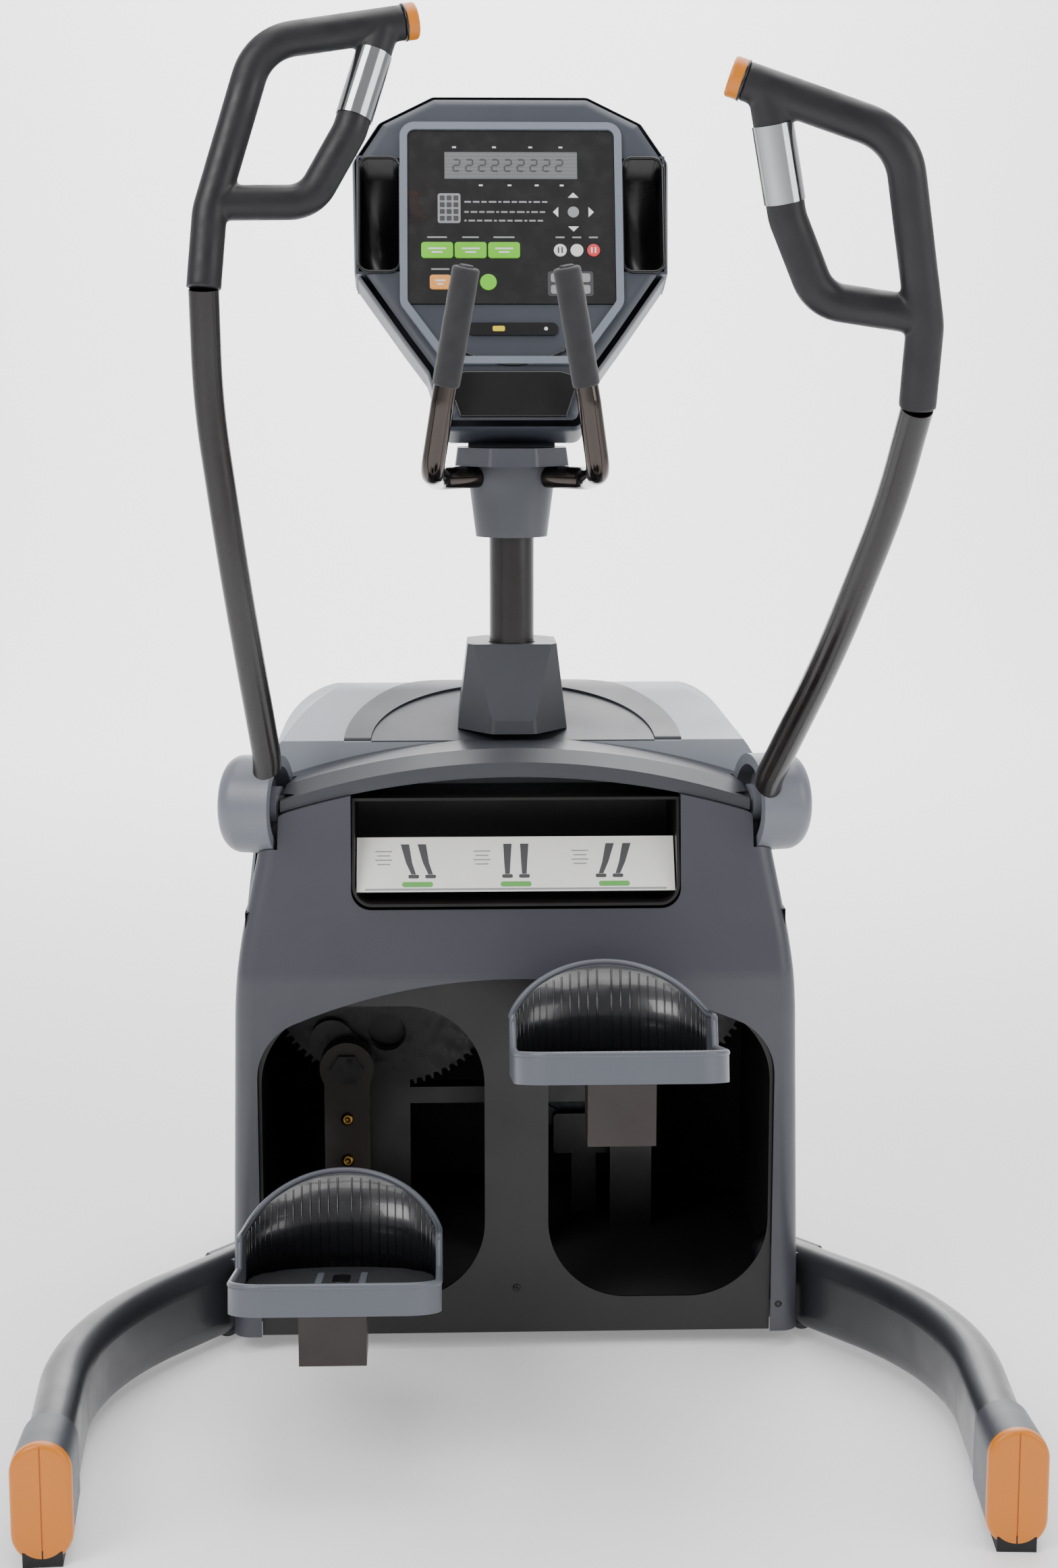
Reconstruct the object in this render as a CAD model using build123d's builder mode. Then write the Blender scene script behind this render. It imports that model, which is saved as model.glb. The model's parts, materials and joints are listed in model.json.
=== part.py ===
"""Lateral-motion elliptical trainer: two pedals that run on upright ellipses beside each other,
two swinging handlebars, a covered drive and a console on a mast.

X points to the user's right, Y points forward, away from the user, and Z points up.
The origin is on the floor, under the middle of the machine's outer box. All sizes are in millimetres.
"""

from build123d import *
from math import acos, cos, degrees, pi, radians, sin, sqrt
import os

os.makedirs("parts", exist_ok=True)

# ---- Driving dimensions ------------------------------------------------------------------------

# Overall
overall_width = 1140        # across the leg tips
overall_length = 1200       # leg tips to the nose of the front cover
wall = 3.5                  # moulded covers
gap = 0.6                   # seam between two covers
slack = 1.5                 # room between a cover and a tube that passes through it
base_clearance = 22         # underside of the covers above the floor

# Housing
housing_half_width = 377    # at the floor
shoulder_half_width = 366   # where the sides start to lean in
shoulder_height = 520
hood_half_width = 322       # at the top
hood_height = 769
bridge_seam_y = 150         # the joint between the rear and front covers
hood_edge_radius = 24
panel_half_width = 338
panel_side_height = 428
panel_corner_radius = 80
panel_crown_height = 509
panel_thickness = 4
panel_set_back = 8          # the panel's face lies this far inside the hood's rim
front_half_width = 340
nose_radius = 120           # the front cover's front corners, seen from above
front_height = 866

# Pedal drive
track = 174                 # centre of each pedal's path, from the middle of the machine
path_height = 268           # centre of the path of the arm tube
lateral_reach = 95          # half width of the pedal's ellipse
vertical_reach = 170        # half height of the pedal's ellipse
link_height = 192           # from the arm tube up to its bearing
rest_cosine = 0.6           # how far sideways along the ellipse the pedals rest
opening_half_width = 146
opening_centre = 188
opening_low = 70
opening_high = 471
arm_width = 64
arm_height = 34
arm_drop = 8                # the tube hangs this far below the centre that the linkage carries
arm_wall = 4
arm_front = 228             # front face of the arm's tube
block_width = 82            # the post that carries the pedal
block_length = 60
block_rear = -300           # rear face of that post
block_drop = 28             # post below and above the centre of the arm tube
block_rise = 78
link_thickness = 18
bearing_outer_radius = 38
link_pin_radius = 15
crank_pin_radius = 14
disc_thickness = 16
shaft_radius = 20
running_fit = 0.05          # radial, pin in bore
axial_play = 1.0
gear_thickness = 20
gear_teeth = 86             # two equal gears mesh in the middle of the machine
pulley_radius = 100
flywheel_pulley_radius = 25
flywheel_radius = 118
flywheel_thickness = 26
flywheel_x = 110
flywheel_height = 300
belt_thickness = 4
belt_width = 16

# Pedals
pedal_width = 248
pedal_length = 350
pedal_wall = 6
pedal_floor = 8
pedal_heel_rise = 26
pedal_toe_rise = 128
pedal_tilt = 13             # toe down
pedal_inset = 8             # pedal centre sits this far towards the middle from its arm

# Legs
leg_width = 56
leg_height = 112
leg_wall = 4
leg_bend_radius = 450
leg_root_x = 352
leg_root_y = 120
leg_corner_x = 564
leg_corner_y = -151
leg_floor_gap = 6
sleeve_width = 68
sleeve_height = 138
sleeve_length = 120
cap_thickness = 12
sole_thickness = 4

# Handlebars
hub_x = 335
hub_y = 60
hub_height = 731
hub_yaw = 13.3              # the outer end of the hinge axis points forward
hub_radius = 64
hub_length = 72
handle_swing = 12.6         # each side of the middle position
handle_tube_radius = 18.5
handle_tube_wall = 2.5
handle_grip_radius = 21.5
handle_cap_length = 16

# Mast and console
mast_radius = 30
mast_wall = 3
mast_y = 215
mast_foot = 60
mast_head = 1188
console_lean = 18.6         # the face leans away from the user
console_width = 415
console_depth = 92
fixed_tube_radius = 15
fixed_grip_radius = 17.5
button_travel = 1.0


def save(piece, name):
    """Label a finished piece and write it as its own file."""
    piece.label = name
    export_step(piece, f"parts/{name}.step")


SIDES = {"left": -1, "right": 1}

# ---- Values worked out from them ---------------------------------------------------------------

crank_throw = (vertical_reach + lateral_reach) / 2
link_throw = (vertical_reach - lateral_reach) / 2
rest_sine = sqrt(1 - rest_cosine**2)
drive_height = path_height + link_height
front_face = overall_length / 2
leg_tip_y = -overall_length / 2
leg_tip_x = (overall_width - sleeve_width) / 2

# stations of the drive along Y, from the arm forward
link_rear = arm_front
link_front = link_rear + link_thickness
boss_front = link_front + link_thickness
disc_rear = boss_front + axial_play
disc_front = disc_rear + disc_thickness
gear_rear = disc_front + axial_play
gear_front = gear_rear + gear_thickness
bearing_rear = gear_front + 10
bearing_length = 36
bearing_front = bearing_rear + bearing_length
belt_rear = bearing_front + 12
belt_front = belt_rear + belt_width
shaft_front = belt_front + 6
flywheel_rear = belt_front + 10
flywheel_front = flywheel_rear + flywheel_thickness


def arm_place(sign):
    """Centre of one side's arm tube at rest, as (x, z): the left pedal is low, the right one high."""
    return (
        sign * track - lateral_reach * rest_cosine,
        path_height + sign * vertical_reach * rest_sine,
    )


def crank_pin_place(sign):
    """Centre of one side's crank pin at rest, as (x, z)."""
    return (
        sign * track - crank_throw * rest_cosine,
        drive_height + sign * crank_throw * rest_sine,
    )


def upright(x, z, y):
    """A sketch plane across the machine at depth y, centred on (x, z), that extrudes forward."""
    return Plane(origin=(x, y, z), x_dir=(-1, 0, 0), z_dir=(0, 1, 0))


hub_axis_direction = Vector(cos(radians(hub_yaw)), sin(radians(hub_yaw)), 0)
hub_centre = Vector(hub_x, hub_y, hub_height)
hub_axis = Axis(hub_centre, hub_axis_direction)


def along_hub(distance):
    """A plane square to the right hinge axis, this far outward from the hub's middle."""
    return Plane(origin=hub_centre + hub_axis_direction * distance, z_dir=hub_axis_direction)


# ---- Housing forms -----------------------------------------------------------------------------

hood_top_x = 303
hood_top_side = 724
bridge_depth = 120
shoulder_bend_radius = 700
hood_corner_radius = 40
slope_foot = 512            # the rear face stands upright to here, then leans forward
slope_head_y = 26


def hood_form(inset):
    """The rear cover's outer form, moved inward by inset but left open at the seam and below."""
    seam = bridge_seam_y + 2 * inset
    foot = base_clearance - 2 * inset
    with BuildPart() as form:
        with BuildSketch(Plane.XZ) as front:
            with BuildLine():
                Polyline(
                    (-hood_top_x, hood_top_side), (-hood_half_width - 6, hood_top_side - 18),
                    (-shoulder_half_width, shoulder_height), (-housing_half_width, foot),
                    (housing_half_width, foot), (shoulder_half_width, shoulder_height),
                    (hood_half_width + 6, hood_top_side - 18), (hood_top_x, hood_top_side),
                )
                ThreePointArc((hood_top_x, hood_top_side), (0, hood_height), (-hood_top_x, hood_top_side))
            make_face()
            fillet(front.vertices().sort_by(Axis.Y)[2:4], radius=shoulder_bend_radius)
            fillet(front.vertices().group_by(Axis.Y)[-1], radius=hood_corner_radius)
            offset(amount=-inset)
        extrude(amount=front_face, both=True)
        with BuildSketch(Plane.YZ) as side:
            with BuildLine():
                Polyline(
                    (seam, foot), (0, foot), (-6, slope_foot),
                    (slope_head_y, hood_height + 10), (seam, hood_height + 10), close=True,
                )
            make_face()
            fillet(side.vertices().group_by(Axis.X)[0], radius=90)
            offset(amount=-inset)
        extrude(amount=overall_width, both=True, mode=Mode.INTERSECT)
        rim = form.faces().sort_by(Axis.Y)[0].edges()
        fillet(rim.filter_by(lambda e: e.center().Z > base_clearance + 5), hood_edge_radius - inset)
    return form.part


dome_lean = 14              # how far the dome's corners stand in from its widest
dome_crown = 22
dome_corner_radius = 150


def front_form(inset):
    """The front cover's outer form, moved inward by inset but left open at the seam and below."""
    seam = bridge_seam_y - 2 * inset
    foot = base_clearance - 2 * inset
    with BuildPart() as form:
        with BuildSketch(Plane.XZ) as front:
            with BuildLine():
                Polyline(
                    (-front_half_width + dome_lean, front_height - dome_crown),
                    (-shoulder_half_width, shoulder_height), (-housing_half_width, foot),
                    (housing_half_width, foot), (shoulder_half_width, shoulder_height),
                    (front_half_width - dome_lean, front_height - dome_crown),
                )
                ThreePointArc(
                    (front_half_width - dome_lean, front_height - dome_crown), (0, front_height),
                    (-front_half_width + dome_lean, front_height - dome_crown),
                )
            make_face()
            fillet(front.vertices().sort_by(Axis.Y)[-2:], radius=dome_corner_radius)
            offset(amount=-inset)
        extrude(amount=overall_length, both=True)
        with BuildSketch(Plane.YZ) as side:
            with BuildLine():
                Polyline(
                    (seam, foot), (seam, 800), (400, front_height + 2),
                    (front_face - 60, front_height - 120), (front_face, 430), (front_face, foot),
                    close=True,
                )
            make_face()
            fillet(side.vertices().sort_by(Axis.Y)[-1:], radius=160)
            fillet(side.vertices().sort_by(Axis.X)[-2:].sort_by(Axis.Y)[-1:], radius=150)
            offset(amount=-inset)
        extrude(amount=overall_width, both=True, mode=Mode.INTERSECT)
        with BuildSketch(Plane.XY) as plan:
            with Locations((0, seam)):
                Rectangle(2 * housing_half_width + 2, front_face - seam, align=(Align.CENTER, Align.MIN))
            fillet(plan.vertices().group_by(Axis.Y)[-1], radius=nose_radius)
            offset(amount=-inset)
        extrude(amount=2 * front_height, both=True, mode=Mode.INTERSECT)
    return form.part


# ---- Legs' places, shared by the covers and the base frame --------------------------------------

leg_root = Vector(leg_root_x, leg_root_y, leg_floor_gap + leg_height / 2)
leg_corner = Vector(leg_corner_x, leg_corner_y, leg_root.Z)
leg_tip = Vector(leg_tip_x, leg_tip_y, leg_root.Z)
leg_root_line = (leg_corner - leg_root).normalized()
leg_tip_line = (leg_tip - leg_corner).normalized()
collar_start = 10
collar_length = 62
collar_wall = 6


def across_leg(distance):
    """A plane across the right leg, this far along its straight root run."""
    return Plane(
        origin=leg_root + leg_root_line * distance,
        x_dir=(leg_root_line.Y, -leg_root_line.X, 0),
        z_dir=leg_root_line,
    )


with BuildPart() as leg_holes:
    with BuildSketch(across_leg(-collar_length)):
        SlotOverall(
            leg_height + 2 * (collar_wall + slack), leg_width + 2 * (collar_wall + slack), rotation=90
        )
    extrude(amount=3 * collar_length)
    mirror(about=Plane.YZ)

# ---- Rear cover, panel and recess --------------------------------------------------------------

recess_half_width = 214
recess_low = 600
recess_corner_radius = 26
recess_front = 178          # the recess ends before the mast and the drive
tray_flange = 5
tray_top = 742
bridge_crown = 803
bridge_half_width = 318
bridge_end_height = 750


def panel_outline(margin):
    """The rear panel's outline, moved outward by margin."""
    with BuildSketch() as outline:
        with BuildLine():
            Polyline(
                (-panel_half_width, panel_side_height), (-panel_half_width, base_clearance - 2 * margin),
                (panel_half_width, base_clearance - 2 * margin), (panel_half_width, panel_side_height),
            )
            ThreePointArc(
                (panel_half_width, panel_side_height), (0, panel_crown_height),
                (-panel_half_width, panel_side_height),
            )
        make_face()
        fillet(outline.vertices().group_by(Axis.Y)[-1], radius=panel_corner_radius)
        if margin:
            offset(amount=margin)
    return outline.sketch


# ---- Room for the hubs and for the arms that carry them ------------------------------------------

mast_collar_radius = 35
carrier_x = 272             # centre of each arm that reaches back to a hub
carrier_width = 30
carrier_height = 30
carrier_rear = 35
stub_inner = -54            # the hub stubs, measured along the hinge axis from the hub's middle
stub_outer = 30
stub_radius = 12
hub_overlap = 6             # how far the room for an arm runs into the room for its hub

with BuildPart() as carrier_space:
    with BuildSketch(Plane.XY.offset(hub_height - carrier_height / 2 - slack)):
        with Locations((carrier_x, carrier_rear - slack)):
            Rectangle(
                carrier_width + 2 * slack, 3 * mast_radius + mast_y, align=(Align.CENTER, Align.MIN)
            )
            Rectangle(
                hub_x - carrier_x - 2 * stub_radius + hub_overlap, hub_radius + hub_y - carrier_rear,
                align=(Align.MIN, Align.MIN),
            )
    extrude(amount=carrier_height + 2 * slack)
    mirror(about=Plane.YZ)

with BuildPart() as hub_pocket:
    with BuildSketch(along_hub(-hub_length / 2)):
        Circle(hub_radius + slack)
    extrude(amount=2 * hub_length)
    mirror(about=Plane.YZ)

hood_outer = hood_form(0)
hood_inner = hood_form(wall)

with BuildPart() as rear_cover:
    add(hood_outer)
    add(hood_inner, mode=Mode.SUBTRACT)
    with BuildSketch(upright(0, 0, -2 * hood_edge_radius)):
        add(panel_outline(gap))
    extrude(amount=3 * hood_edge_radius, mode=Mode.SUBTRACT)
    with BuildSketch(upright(0, recess_low, -hood_edge_radius)) as mouth:
        Rectangle(2 * recess_half_width, hood_height, align=(Align.CENTER, Align.MIN))
        fillet(mouth.vertices().group_by(Axis.Y)[0], radius=recess_corner_radius)
    extrude(amount=recess_front + hood_edge_radius, mode=Mode.SUBTRACT)
    add(hub_pocket.part, mode=Mode.SUBTRACT)
    add(carrier_space.part, mode=Mode.SUBTRACT)
    add(leg_holes.part, mode=Mode.SUBTRACT)
save(rear_cover.part, "rear_cover")

with BuildPart() as rear_panel:
    with BuildSketch(upright(0, 0, panel_set_back)):
        add(panel_outline(0))
    extrude(amount=panel_thickness)
    with BuildSketch(upright(0, (opening_low + opening_high) / 2, panel_set_back)) as ports:
        with Locations((opening_centre, 0), (-opening_centre, 0)):
            Rectangle(2 * opening_half_width, opening_high - opening_low)
        fillet(ports.vertices(), radius=opening_half_width * 0.72)
    extrude(amount=panel_thickness, mode=Mode.SUBTRACT)
save(rear_panel.part, "rear_panel")

with BuildPart() as storage_tray:
    with BuildSketch(Plane.YZ) as tray_side:
        with BuildLine():
            Polyline(
                (slope_head_y - 26, recess_low + tray_flange), (recess_front, recess_low + tray_flange),
                (recess_front, tray_top), (slope_head_y + 8, tray_top), close=True,
            )
        make_face()
    extrude(amount=recess_half_width - slack, both=True)
    fillet(storage_tray.edges().filter_by(Axis.Y).group_by(Axis.Z)[0], radius=recess_corner_radius)
    offset(amount=-wall, openings=storage_tray.faces().sort_by(Axis.Y)[0])
save(storage_tray.part, "storage_tray")

placard_lean = 32
with BuildPart() as placard:
    placard_plane = Plane(
        origin=(0, slope_head_y - 12, recess_low + tray_flange + wall + 13),
        x_dir=(1, 0, 0),
        z_dir=(0, -sin(radians(90 - placard_lean)), cos(radians(90 - placard_lean))),
    )
    with BuildSketch(placard_plane):
        Rectangle(2 * recess_half_width - 14, 76, align=(Align.CENTER, Align.MIN))
    extrude(amount=1.5)
save(placard.part, "placard")

with BuildPart() as bridge_cover:
    with BuildSketch(upright(0, 0, bridge_seam_y - bridge_depth)) as bridge_front:
        with BuildLine():
            ThreePointArc(
                (-hood_top_x - 15, hood_top_side - 4 + gap), (0, hood_height + gap),
                (hood_top_x + 15, hood_top_side - 4 + gap),
            )
            Line((hood_top_x + 15, hood_top_side - 4 + gap), (bridge_half_width, bridge_end_height))
            ThreePointArc(
                (bridge_half_width, bridge_end_height), (0, bridge_crown),
                (-bridge_half_width, bridge_end_height),
            )
            Line((-bridge_half_width, bridge_end_height), (-hood_top_x - 15, hood_top_side - 4 + gap))
        make_face()
    extrude(amount=bridge_depth - gap)
    rear_top = bridge_cover.edges().filter_by(GeomType.CIRCLE).group_by(Axis.Y)[0].sort_by(Axis.Z)[-1]
    chamfer(rear_top, length=14, length2=30, reference=bridge_cover.faces().sort_by(Axis.Y)[0])
    add(hub_pocket.part, mode=Mode.SUBTRACT)
    add(carrier_space.part, mode=Mode.SUBTRACT)
save(bridge_cover.part, "bridge_cover")

# ---- Front cover, ring and deck ----------------------------------------------------------------

ring_half_width = 226
ring_reach = 250
deck_half_width = 190
deck_reach = 184
ring_proud = 4


def deck_region(half_width, reach):
    """A tall column over the front cover: half an ellipse in plan, standing on the seam."""
    with BuildPart() as column:
        with BuildSketch(Plane.XY.offset(hood_height - 60)):
            with Locations((0, bridge_seam_y)):
                Ellipse(half_width, reach)
                Rectangle(2 * half_width, 2 * reach, align=(Align.CENTER, Align.MAX), mode=Mode.SUBTRACT)
        extrude(amount=2 * bridge_crown)
    return column.part


front_outer = front_form(0)
front_inner = front_form(wall)
front_skin_proud = front_form(-ring_proud)

with BuildPart() as seam_space:
    with BuildSketch(Plane.XZ.offset(-bridge_seam_y)):
        Rectangle(2 * overall_width, 4 * overall_width)
    extrude(amount=gap, both=True)

with BuildPart() as mast_hole:
    with BuildSketch(Plane.XY):
        with Locations((0, mast_y)):
            Circle(mast_radius + slack)
    extrude(amount=2 * mast_head)

with BuildPart() as seam_wall:
    with BuildSketch(upright(0, tray_top, bridge_seam_y)):
        Rectangle(overall_width, front_height, align=(Align.CENTER, Align.MIN))
    extrude(amount=2 * wall)
    add(front_inner, mode=Mode.INTERSECT)
    add(carrier_space.part, mode=Mode.SUBTRACT)
    add(hub_pocket.part, mode=Mode.SUBTRACT)

with BuildPart() as front_cover:
    add(front_outer)
    add(front_inner, mode=Mode.SUBTRACT)
    add(deck_region(ring_half_width + gap, ring_reach + gap), mode=Mode.SUBTRACT)
    add(hub_pocket.part, mode=Mode.SUBTRACT)
    add(leg_holes.part, mode=Mode.SUBTRACT)
    add(seam_wall.part)
    add(seam_space.part, mode=Mode.SUBTRACT)
save(front_cover.part, "front_cover")

with BuildPart() as ring_band:
    add(front_skin_proud)
    add(front_inner, mode=Mode.SUBTRACT)
    add(deck_region(ring_half_width, ring_reach), mode=Mode.INTERSECT)
    add(deck_region(deck_half_width + gap, deck_reach + gap), mode=Mode.SUBTRACT)
    add(seam_space.part, mode=Mode.SUBTRACT)
save(ring_band.part, "ring_band")

with BuildPart() as deck_cover:
    add(front_outer)
    add(front_inner, mode=Mode.SUBTRACT)
    add(deck_region(deck_half_width, deck_reach), mode=Mode.INTERSECT)
    add(mast_hole.part, mode=Mode.SUBTRACT)
    add(seam_space.part, mode=Mode.SUBTRACT)
save(deck_cover.part, "deck_cover")

# ---- Mast and hub carrier ----------------------------------------------------------------------

with BuildPart() as mast:
    with BuildSketch(Plane.XY.offset(mast_foot)):
        with Locations((0, mast_y)):
            Circle(mast_radius)
    extrude(amount=mast_head - mast_foot)
    with BuildSketch(Plane.XY.offset(hub_height - carrier_height / 2)):
        with Locations((0, mast_y)):
            Circle(mast_collar_radius)
            Rectangle(2 * carrier_x + carrier_width, 50)
        with Locations((carrier_x, carrier_rear), (-carrier_x, carrier_rear)):
            Rectangle(carrier_width, mast_y - carrier_rear, align=(Align.CENTER, Align.MIN))
    extrude(amount=carrier_height)
    with BuildSketch(along_hub(stub_inner)):
        Circle(stub_radius)
    extrude(amount=stub_outer - stub_inner)
    with BuildSketch(along_hub(stub_inner)):
        Circle(stub_radius)
    left_stub = extrude(amount=stub_outer - stub_inner, mode=Mode.PRIVATE)
    add(mirror(left_stub, about=Plane.YZ, mode=Mode.PRIVATE))
    with BuildSketch(Plane.XY.offset(mast_foot)):
        with Locations((0, mast_y)):
            Circle(mast_radius - mast_wall)
    extrude(amount=mast_head - mast_foot, mode=Mode.SUBTRACT)
save(mast.part, "mast")

boot_foot = 812
boot_head = 926
with BuildPart() as mast_boot:
    with BuildSketch(Plane.XY.offset(boot_foot)) as boot_plan:
        with Locations((0, mast_y)):
            Polygon(
                (-30, -92), (30, -92), (74, -30), (74, 66), (40, 96), (-40, 96), (-74, 66), (-74, -30),
                align=None,
            )
        fillet(boot_plan.vertices(), radius=14)
    extrude(amount=boot_head - boot_foot, taper=7)
    with BuildSketch(Plane.YZ):
        Polygon(
            (mast_y - 200, boot_foot - 1), (mast_y - 100, boot_foot - 1), (mast_y - 36, boot_head + 1),
            (mast_y - 200, boot_head + 1), align=None,
        )
    extrude(amount=overall_width, both=True, mode=Mode.SUBTRACT)
    add(front_outer, mode=Mode.SUBTRACT)
    add(mast_hole.part, mode=Mode.SUBTRACT)
save(mast_boot.part, "mast_boot")

# ---- Fixed handles -----------------------------------------------------------------------------

fixed_handle_route = [
    (mast_radius / 2, mast_y, 1150), (100, 140, 1149), (106, 30, 1162), (92, -2, 1249), (64, -20, 1404),
]
fixed_grip_start = Vector(*fixed_handle_route[3])
fixed_grip_end = Vector(*fixed_handle_route[4])
fixed_grip_line = (fixed_grip_end - fixed_grip_start).normalized()
fixed_grip_length = (fixed_grip_end - fixed_grip_start).length
grip_socket = 22            # the foam grip starts this far past the last bend
grip_end_wall = 12
thumb_radius = 9
thumb_depth = 7
thumb_proud = 3


def along_fixed_grip(distance):
    """A plane square to the right fixed grip, this far past its last bend."""
    return Plane(origin=fixed_grip_start + fixed_grip_line * distance, z_dir=fixed_grip_line)


with BuildPart() as fixed_handles:
    with BuildLine() as handle_route:
        FilletPolyline(*fixed_handle_route, radius=34)
    with BuildSketch(Plane(origin=handle_route.line @ 0, z_dir=handle_route.line % 0)):
        Circle(fixed_tube_radius)
    sweep(path=handle_route.line)
    with BuildSketch(Plane.XY):
        with Locations((0, mast_y)):
            Circle(mast_radius + running_fit)
    extrude(amount=2 * mast_head, mode=Mode.SUBTRACT)
    mirror(about=Plane.YZ)
save(fixed_handles.part, "fixed_handles")

with BuildPart() as fixed_grips:
    with BuildSketch(along_fixed_grip(grip_socket)):
        Circle(fixed_grip_radius)
    extrude(amount=fixed_grip_length - grip_socket + grip_end_wall)
    fillet(fixed_grips.edges(), radius=2.4)
    with BuildSketch(along_fixed_grip(grip_socket)):
        Circle(fixed_tube_radius + running_fit)
    extrude(amount=fixed_grip_length - grip_socket, mode=Mode.SUBTRACT)
    with BuildSketch(along_fixed_grip(fixed_grip_length + grip_end_wall - thumb_depth)):
        Circle(thumb_radius + 0.4)
    extrude(amount=2 * thumb_depth, mode=Mode.SUBTRACT)
    mirror(about=Plane.YZ)
save(fixed_grips.part, "fixed_grips")

with BuildPart() as thumb_button:
    with BuildSketch(along_fixed_grip(fixed_grip_length + grip_end_wall - thumb_depth + 2 * button_travel)):
        Circle(thumb_radius)
    extrude(amount=thumb_depth - 2 * button_travel + thumb_proud)
    fillet(thumb_button.edges().sort_by(Axis.Z)[-1], radius=2)
save(thumb_button.part, "thumb_button_right")
save(mirror(thumb_button.part, about=Plane.YZ), "thumb_button_left")

cuff_foot = 1069
cuff_rim = 1164
with BuildPart() as mast_cuff:
    with BuildSketch(Plane.XY.offset(cuff_foot)):
        with Locations((0, mast_y)):
            Ellipse(48, 46)
    with BuildSketch(Plane.XY.offset(cuff_rim)):
        with Locations((0, mast_y)):
            Ellipse(60, 54)
    loft()
    with BuildSketch(Plane.XY.offset(cuff_rim)) as cuff_collar:
        with Locations((0, mast_y)):
            RegularPolygon(82, 8, rotation=22.5)
        fillet(cuff_collar.vertices(), radius=12)
    extrude(amount=mast_head - cuff_rim, taper=8)
    add(mast_hole.part, mode=Mode.SUBTRACT)
    add(fixed_handles.part, mode=Mode.SUBTRACT)
save(mast_cuff.part, "mast_cuff")

# ---- Console -----------------------------------------------------------------------------------

console_face = Plane(
    origin=(0, 120, 1217),
    x_dir=(1, 0, 0),
    z_dir=(0, -cos(radians(console_lean)), sin(radians(console_lean))),
)
panel_low = 166             # the black panel starts here, up the face
panel_proud = 2
panel_depth = 3
bezel_proud = 6
bezel_width = 10
holder_centre = 174         # bottle holders, across and up the face
holder_width = 54
holder_low = 208
holder_high = 372
holder_depth = 76


def console_outline(margin):
    """The console's face outline, moved inward by margin."""
    half = console_width / 2
    with BuildSketch() as outline:
        Polygon(
            (90, 0), (112, 76), (142, 118), (half, 214), (half + 3, 370), (0.85 * half, 424),
            (0.5 * half, 462), (-0.5 * half, 462), (-0.85 * half, 424), (-half - 3, 370), (-half, 214),
            (-142, 118), (-112, 76), (-90, 0), align=None,
        )
        fillet(outline.vertices(), radius=14)
        if margin:
            offset(amount=-margin)
    return outline.sketch


def bezel_outline(margin):
    """The bezel's outline, moved inward by margin."""
    with BuildSketch() as outline:
        Polygon(
            (-88, 84), (88, 84), (147, panel_low), (147, 417), (-147, 417), (-147, panel_low), align=None
        )
        fillet(outline.vertices(), radius=20)
        if margin:
            offset(amount=-margin)
    return outline.sketch


with BuildPart() as console_shell:
    with BuildSketch(console_face):
        add(console_outline(0))
    extrude(amount=-console_depth)
    fillet(console_shell.faces().sort_by(Axis.Y)[-1].edges(), radius=22)
    with BuildSketch(console_face.offset(-wall)):
        add(console_outline(wall))
    extrude(amount=-(console_depth - 9 * wall), mode=Mode.SUBTRACT)
    with BuildSketch(console_face):
        with Locations((holder_centre, holder_low), (-holder_centre, holder_low)):
            Rectangle(holder_width + 2 * wall, holder_high - holder_low, align=(Align.CENTER, Align.MIN))
    extrude(amount=-holder_depth)
    with BuildSketch(console_face):
        with Locations((holder_centre, holder_low + wall), (-holder_centre, holder_low + wall)):
            Rectangle(holder_width, holder_high - holder_low - 2 * wall, align=(Align.CENTER, Align.MIN))
    extrude(amount=-holder_depth + wall, mode=Mode.SUBTRACT)
    with BuildSketch(console_face):
        add(bezel_outline(bezel_width))
        with Locations((0, panel_low)):
            Rectangle(
                2 * console_width, 2 * console_width, align=(Align.CENTER, Align.MAX), mode=Mode.SUBTRACT
            )
    extrude(amount=-wall, mode=Mode.SUBTRACT)
save(console_shell.part, "console_shell")

with BuildPart() as console_bezel:
    with BuildSketch(console_face):
        add(bezel_outline(0))
        add(bezel_outline(bezel_width), mode=Mode.SUBTRACT)
    extrude(amount=bezel_proud)
save(console_bezel.part, "console_bezel")

KEYS = {
    # name: (across, up, width, height) on the console's face; round keys have equal sides
    "quick_key_1": (-98, 240, 42, 22),
    "quick_key_2": (-54, 240, 42, 22),
    "quick_key_3": (-10, 240, 42, 22),
    "menu_key": (-94, 196, 28, 20),
    "go_key": (-31, 196, 22, 22),
    "pause_key": (64, 240, 17, 17),
    "reset_key": (86, 240, 17, 17),
    "stop_key": (108, 240, 17, 17),
}
key_proud = 1.6
window_across = 176
window_tall = 38
window_up = 358


def key_shape(across, up, width, height, margin):
    """One key's outline on the console's face, moved outward by margin."""
    with BuildSketch() as outline:
        with Locations((across, up)):
            if width == height:
                Circle(width / 2 + margin)
            else:
                RectangleRounded(width + 2 * margin, height + 2 * margin, 4 + margin)
    return outline.sketch


with BuildPart() as console_panel:
    with BuildSketch(console_face.offset(-panel_depth)):
        add(bezel_outline(bezel_width + gap))
        with Locations((0, panel_low + gap)):
            Rectangle(
                2 * console_width, 2 * console_width, align=(Align.CENTER, Align.MAX), mode=Mode.SUBTRACT
            )
        with Locations((0, window_up)):
            Rectangle(window_across, window_tall, mode=Mode.SUBTRACT)
        for size in KEYS.values():
            add(key_shape(*size, 0.4), mode=Mode.SUBTRACT)
    extrude(amount=panel_depth + panel_proud)
save(console_panel.part, "console_panel")

with BuildPart() as display_window:
    with BuildSketch(console_face.offset(-panel_depth)):
        with Locations((0, window_up)):
            Rectangle(window_across - 0.2, window_tall - 0.2)
    extrude(amount=panel_depth + panel_proud - 0.5)
save(display_window.part, "display_window")

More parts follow.
